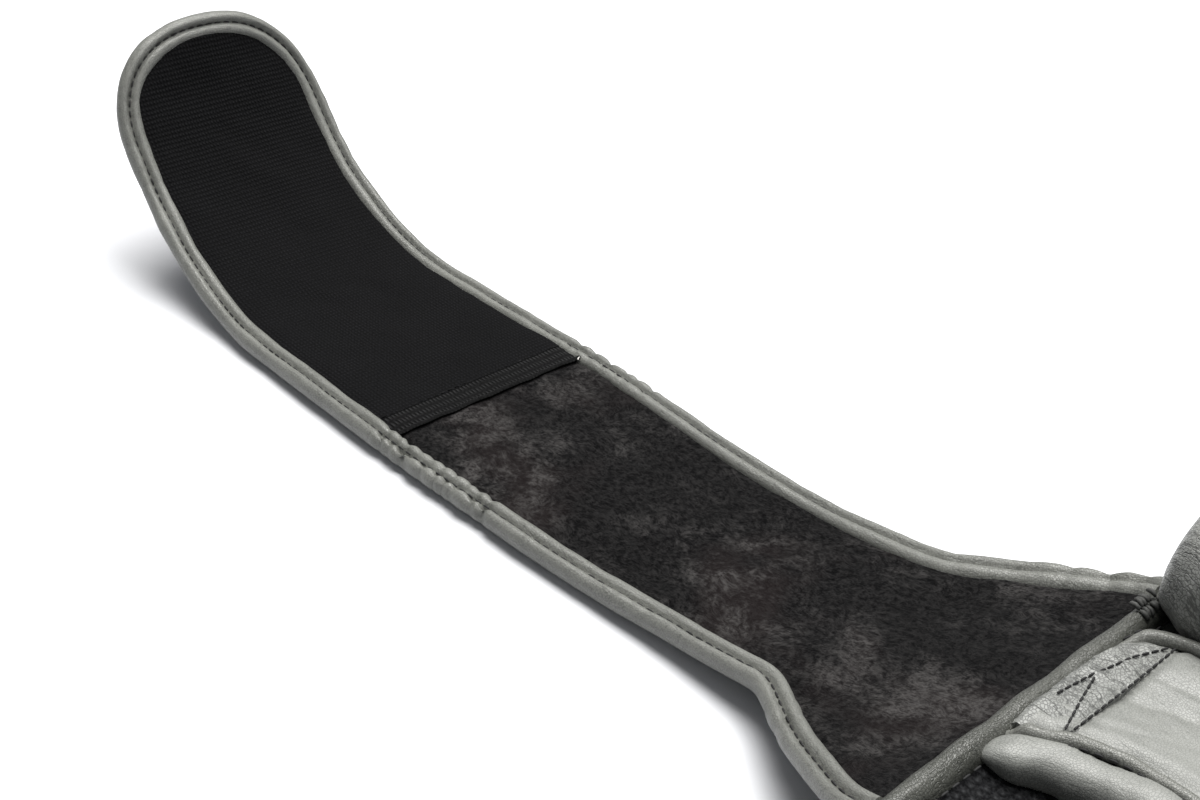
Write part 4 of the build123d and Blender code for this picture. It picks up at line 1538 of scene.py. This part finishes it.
    def make_cup(self) -> None:
        """Builds the cup's padded surround, rolled rim and lining; the hard shell stays as drawn."""
        angle = np.linspace(0, math.tau, 220, endpoint=False)[:, None]
        section = resample(np.array(CUP.skirt), 1.2, closed=True) * MM
        gathers = [Puckers(0, 364 * MM, 13 * MM, 0.9 * MM)]
        swell = crease_depth(angle[:, 0] * 58 * MM, section[:, 1], gathers, 81)
        extra = section[None, :, 0] - swell * (section[None, :, 0] > 1.5 * MM)
        rings = CUP.around(angle, extra, np.ones_like(extra), section[None, :, 1])
        uvs = grid(angle[:, 0] * 58 * MM, section[:, 1])
        skirt = tidy_normals(skin("cup_skirt", rings, uvs, loop=True))
        self.finish(skirt, Finishes.BODY, "cup_surround")
        round_angle = np.linspace(0, math.tau, 28, endpoint=False)
        gathers = [Puckers(0, 346 * MM, 9 * MM, 0.5 * MM)]
        swell = crease_depth(angle[:, 0] * 55 * MM, round_angle * 2 * MM, gathers, 82)
        extra = -3 * MM + (5.0 * MM - swell) * np.cos(round_angle)[None, :]
        z = 43.2 * MM + (4.7 * MM - swell) * np.sin(round_angle)[None, :]
        rings = CUP.around(angle, extra, np.ones_like(extra), z)
        uvs = grid(angle[:, 0] * 55 * MM, round_angle * 5 * MM)
        rim = tidy_normals(skin("cup_rim_roll", rings, uvs, loop=True))
        self.finish(rim, Finishes.BINDING, "cup_rim")
        level = np.linspace(0, 1, 40)
        share = smooth_line(level, CUP.sections, 0.04)
        depth = CUP.bottom + (CUP.top - CUP.bottom) * level
        share = np.concatenate([np.linspace(0.02, share[0], 14)[:-1], share])
        depth = np.concatenate([np.full(13, CUP.bottom), depth])
        wall = share > 0.5
        quilt = 0.6 * MM * ripple(grid(angle[:, 0] * 55 * MM, depth), 16 * MM, 83)
        inside = CUP.around(angle, -6 * MM * wall + quilt * wall, share[None, :], depth[None, :])
        under = depth - 2.4 * MM * (share < 0.5)
        outside = CUP.around(angle, -3.4 * MM * wall + 0 * angle, share[None, :], under[None, :])
        flat = grid(angle[:, 0] * 50 * MM, share * 50 * MM + depth)
        uvs = np.concatenate([flat, flat[:, ::-1]], axis=1)
        lining = tidy_normals(skin("cup_lining", slab_rings(inside, outside), uvs, loop=True))
        self.finish(lining, Finishes.MESH, "cup_pad")
        self.finishes.tint("cup_shell", Finishes.CUP)

    def make_crotch_tab(self) -> None:
        """Builds the leather tab at the crotch end, with its stitched box."""
        x = np.linspace(-1, 1, 90)[:, None] * 52 * MM
        share = np.linspace(0, 1, 30)[None, :]
        corner = np.clip(np.abs(x) - 48 * MM, 0, 4 * MM)
        trim = 4 * MM - np.sqrt((4 * MM) ** 2 - corner**2)
        low_y, high_y = -201.1 * MM + trim, -174.6 * MM + 0 * trim
        y = low_y + (high_y - low_y) * share
        x = x + 0 * share
        edge = np.minimum(np.minimum(share * 26 * MM, (1 - share) * 26 * MM), 52 * MM - np.abs(x))
        uneven = 0.15 * MM * ripple(np.stack([x, y], -1), 14 * MM, 91)
        top = 3.4 * MM + 1.2 * MM * smooth_step(edge, 0, 2.4 * MM) + uneven
        tab = self.slab("crotch_leather_tab", x, y, np.full(x.shape, 0.25 * MM), top)
        self.finish(tab, Finishes.BODY, "crotch_tab")
        corners = np.array([(-47, -197), (47, -197), (47, -179), (-47, -179)], float) * MM
        box = resample(corners, 1 * MM, closed=True)
        points = stand(box[:, 0], box[:, 1], np.full(len(box), 4.6 * MM))
        thread = stitches("crotch_tab_stitches", points, 3.4 * MM, 2.4 * MM, 0.3 * MM)
        self.finish(thread, Finishes.THREAD)

    def make_bar_tacks(self) -> None:
        """Builds the dense tack where each strap's upper edge meets the bound edge."""
        for side in Side:
            rows = []
            for number in range(6):
                slant = 1.2 * MM * math.sin(5.0 * number)
                share = np.linspace(-1, 1, 12)
                x = side.value * (122.6 - 4.2 * share) * MM
                y = (38.5 + 1.35 * number) * MM + slant * share
                height = (12.6 + 0.5 * math.sin(3.0 * number)) * MM - 1.2 * MM * share**2
                rows.append(stitches("tack", stand(x, y, height), 3.0 * MM, 2.9 * MM, 0.62 * MM, 0.2 * MM))
            self.finish(join(side.word + "_bar_tack", rows), Finishes.TACK)

    def build(self) -> None:
        """Builds the whole body."""
        self.make_cover()
        self.make_rim()
        self.make_channel()
        for side in Side:
            self.make_patch(side)
        self.make_piping("upper_piped_seam", "upper_piping", self.upper_line, 55)
        self.make_piping("lower_piped_seam", "lower_piping", self.lower_line, 57)
        self.make_rolls()
        self.make_lining()
        self.make_cup()
        self.make_crotch_tab()
        self.make_bar_tacks()


@dataclass
class LegStrap:
    """One elastic leg strap with its hook tab and its sliding tri-glide."""

    side: Side
    finishes: Finishes
    start: float = 52.5 * MM
    end: float = 222.5 * MM
    centre_y: float = -188.1 * MM

    def build(self) -> None:
        """Builds the band, and dresses the tab and the glide."""
        word, s = self.side.word, self.side.value
        x = np.linspace(self.start, self.end, 300)[:, None]
        share = np.linspace(-1, 1, 40)[None, :]
        scallop = 17.8 * MM + 0.2 * MM * np.sin(x / (1.3 * MM))
        y = self.centre_y + share * scallop
        x = x + 0 * share
        rise = 0.18 * MM * ripple(np.stack([x, y], -1), 20 * MM, 97)
        flat = np.stack([x, y], -1)
        top = np.stack([s * x, BODY.strap_y + y, 4.3 * MM + rise], -1)
        bottom = np.stack([s * x, BODY.strap_y + y, 2.3 * MM + rise * 0.3], -1)
        uvs = np.concatenate([flat, flat[:, ::-1]], axis=1)
        band = tidy_normals(skin(word + "_leg_elastic", slab_rings(top, bottom), uvs, cap=Cap.STRIP))
        self.finishes.dress(band, Finishes.ELASTIC)
        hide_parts(word + "_leg_band")
        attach(band, word + "_leg_strap")
        tab_x = np.linspace(self.end - 32 * MM, self.end - 2 * MM, 40)[:, None]
        corner = np.clip(np.abs(tab_x - self.end + 17 * MM) - 11 * MM, 0, 4 * MM)
        half = 16 * MM - (4 * MM - np.sqrt((4 * MM) ** 2 - corner**2))
        tab_y = self.centre_y + share * half
        tab_x = tab_x + 0 * share
        top = np.stack([s * tab_x, BODY.strap_y + tab_y, np.full(tab_x.shape, 5.7 * MM)], -1)
        bottom = np.stack([s * tab_x, BODY.strap_y + tab_y, np.full(tab_x.shape, 4.45 * MM)], -1)
        flat = np.stack([tab_x, tab_y], -1)
        uvs = np.concatenate([flat, flat[:, ::-1]], axis=1)
        tab = tidy_normals(skin(word + "_leg_hook_patch", slab_rings(top, bottom), uvs, cap=Cap.STRIP))
        self.finishes.dress(tab, Finishes.HOOK)
        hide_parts(word + "_leg_hook_tab")
        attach(tab, word + "_leg_strap")
        self.finishes.tint(word + "_leg_glide", Finishes.PLASTIC)


# ---- stage --------------------------------------------------------------------------------------
@dataclass(frozen=True)
class Stage:
    """Bright seamless floor, soft light from behind and above, and the camera."""

    lens: float = 48.33
    azimuth: float = 45.66
    elevation: float = 32.88
    roll: float = 3.85
    position: tuple = (-0.00632, -0.19121, 0.25845)

    def make_floor(self) -> None:
        """Builds the floor."""
        size = 8.0
        corners = np.array([(-size, -size, 0), (size, -size, 0), (size, size, 0), (-size, size, 0)])
        floor = new_mesh("floor", corners - (0, 0, 0.0002), [[0, 1, 2, 3]], corners[:, :2])
        material = bpy.data.materials.new("floor_paper")
        material.use_nodes = True
        shader = material.node_tree.nodes["Principled BSDF"]
        g = Graph(material.node_tree)
        mottle = g.noise(g.add("UVMap", uv_map="surface").outputs[0], 6.0, 2.0)
        paper = g.blend(mottle, (0.64, 0.65, 0.68), (0.68, 0.685, 0.71))
        g.tree.links.new(paper, shader.inputs["Base Color"])
        shader.inputs["Roughness"].default_value = 0.9
        shader.inputs["Specular IOR Level"].default_value = 0.1
        floor.data.materials.append(material)

    def make_lights(self) -> None:
        """Places the soft key light and the bright surroundings."""
        key = bpy.data.lights.new("key", "AREA")
        key.shape, key.size, key.size_y, key.energy = "RECTANGLE", 2.3, 1.8, 150.0
        key.color = (1.0, 0.99, 0.965)
        lamp = bpy.data.objects.new("key", key)
        lamp.location = (-0.35, 0.65, 2.2)
        lamp.rotation_euler = (Vector((-0.15, 0.1, 0.0)) - lamp.location).to_track_quat("-Z", "Y").to_euler()
        bpy.context.scene.collection.objects.link(lamp)
        world = bpy.data.worlds.new("surroundings")
        world.use_nodes = True
        background = world.node_tree.nodes["Background"]
        background.inputs["Color"].default_value = (0.95, 0.97, 1.0, 1.0)
        background.inputs["Strength"].default_value = 0.26
        bpy.context.scene.world = world

    def make_camera(self) -> None:
        """Places the camera."""
        a, e, r = (math.radians(v) for v in (self.azimuth, self.elevation, self.roll))
        forward = Vector((-math.sin(a) * math.cos(e), math.cos(a) * math.cos(e), -math.sin(e)))
        right = Vector((math.cos(a), math.sin(a), 0.0))
        up = right.cross(forward)
        turned_right = right * math.cos(r) + up * math.sin(r)
        turned_up = up * math.cos(r) - right * math.sin(r)
        data = bpy.data.cameras.new("camera")
        data.lens, data.sensor_width = self.lens, 36.0
        data.clip_start, data.clip_end = 0.01, 50.0
        camera = bpy.data.objects.new("camera", data)
        axes = Matrix((turned_right, turned_up, -forward)).transposed().to_4x4()
        camera.matrix_world = Matrix.Translation(self.position) @ axes
        bpy.context.scene.collection.objects.link(camera)
        bpy.context.scene.camera = camera

    def build(self) -> None:
        """Builds the stage and sets how colours are shown."""
        self.make_floor()
        self.make_lights()
        self.make_camera()
        bpy.context.scene.view_settings.view_transform = "Standard"


def write_size() -> None:
    """Brings the scene up to date."""
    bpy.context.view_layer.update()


def main() -> None:
    """Builds every piece, then the stage."""
    logging.basicConfig(level=logging.INFO, format="%(message)s")
    finishes = Finishes()
    for side in Side:
        WaistStrap(side, finishes).build()
        LOG.info("%s waist strap", side.word)
    ProtectorBody(finishes).build()
    LOG.info("body")
    for side in Side:
        LegStrap(side, finishes).build()
        LOG.info("%s leg strap", side.word)
    write_size()
    Stage().build()
    LOG.info("stage")


if __name__ == "__main__":
    main()
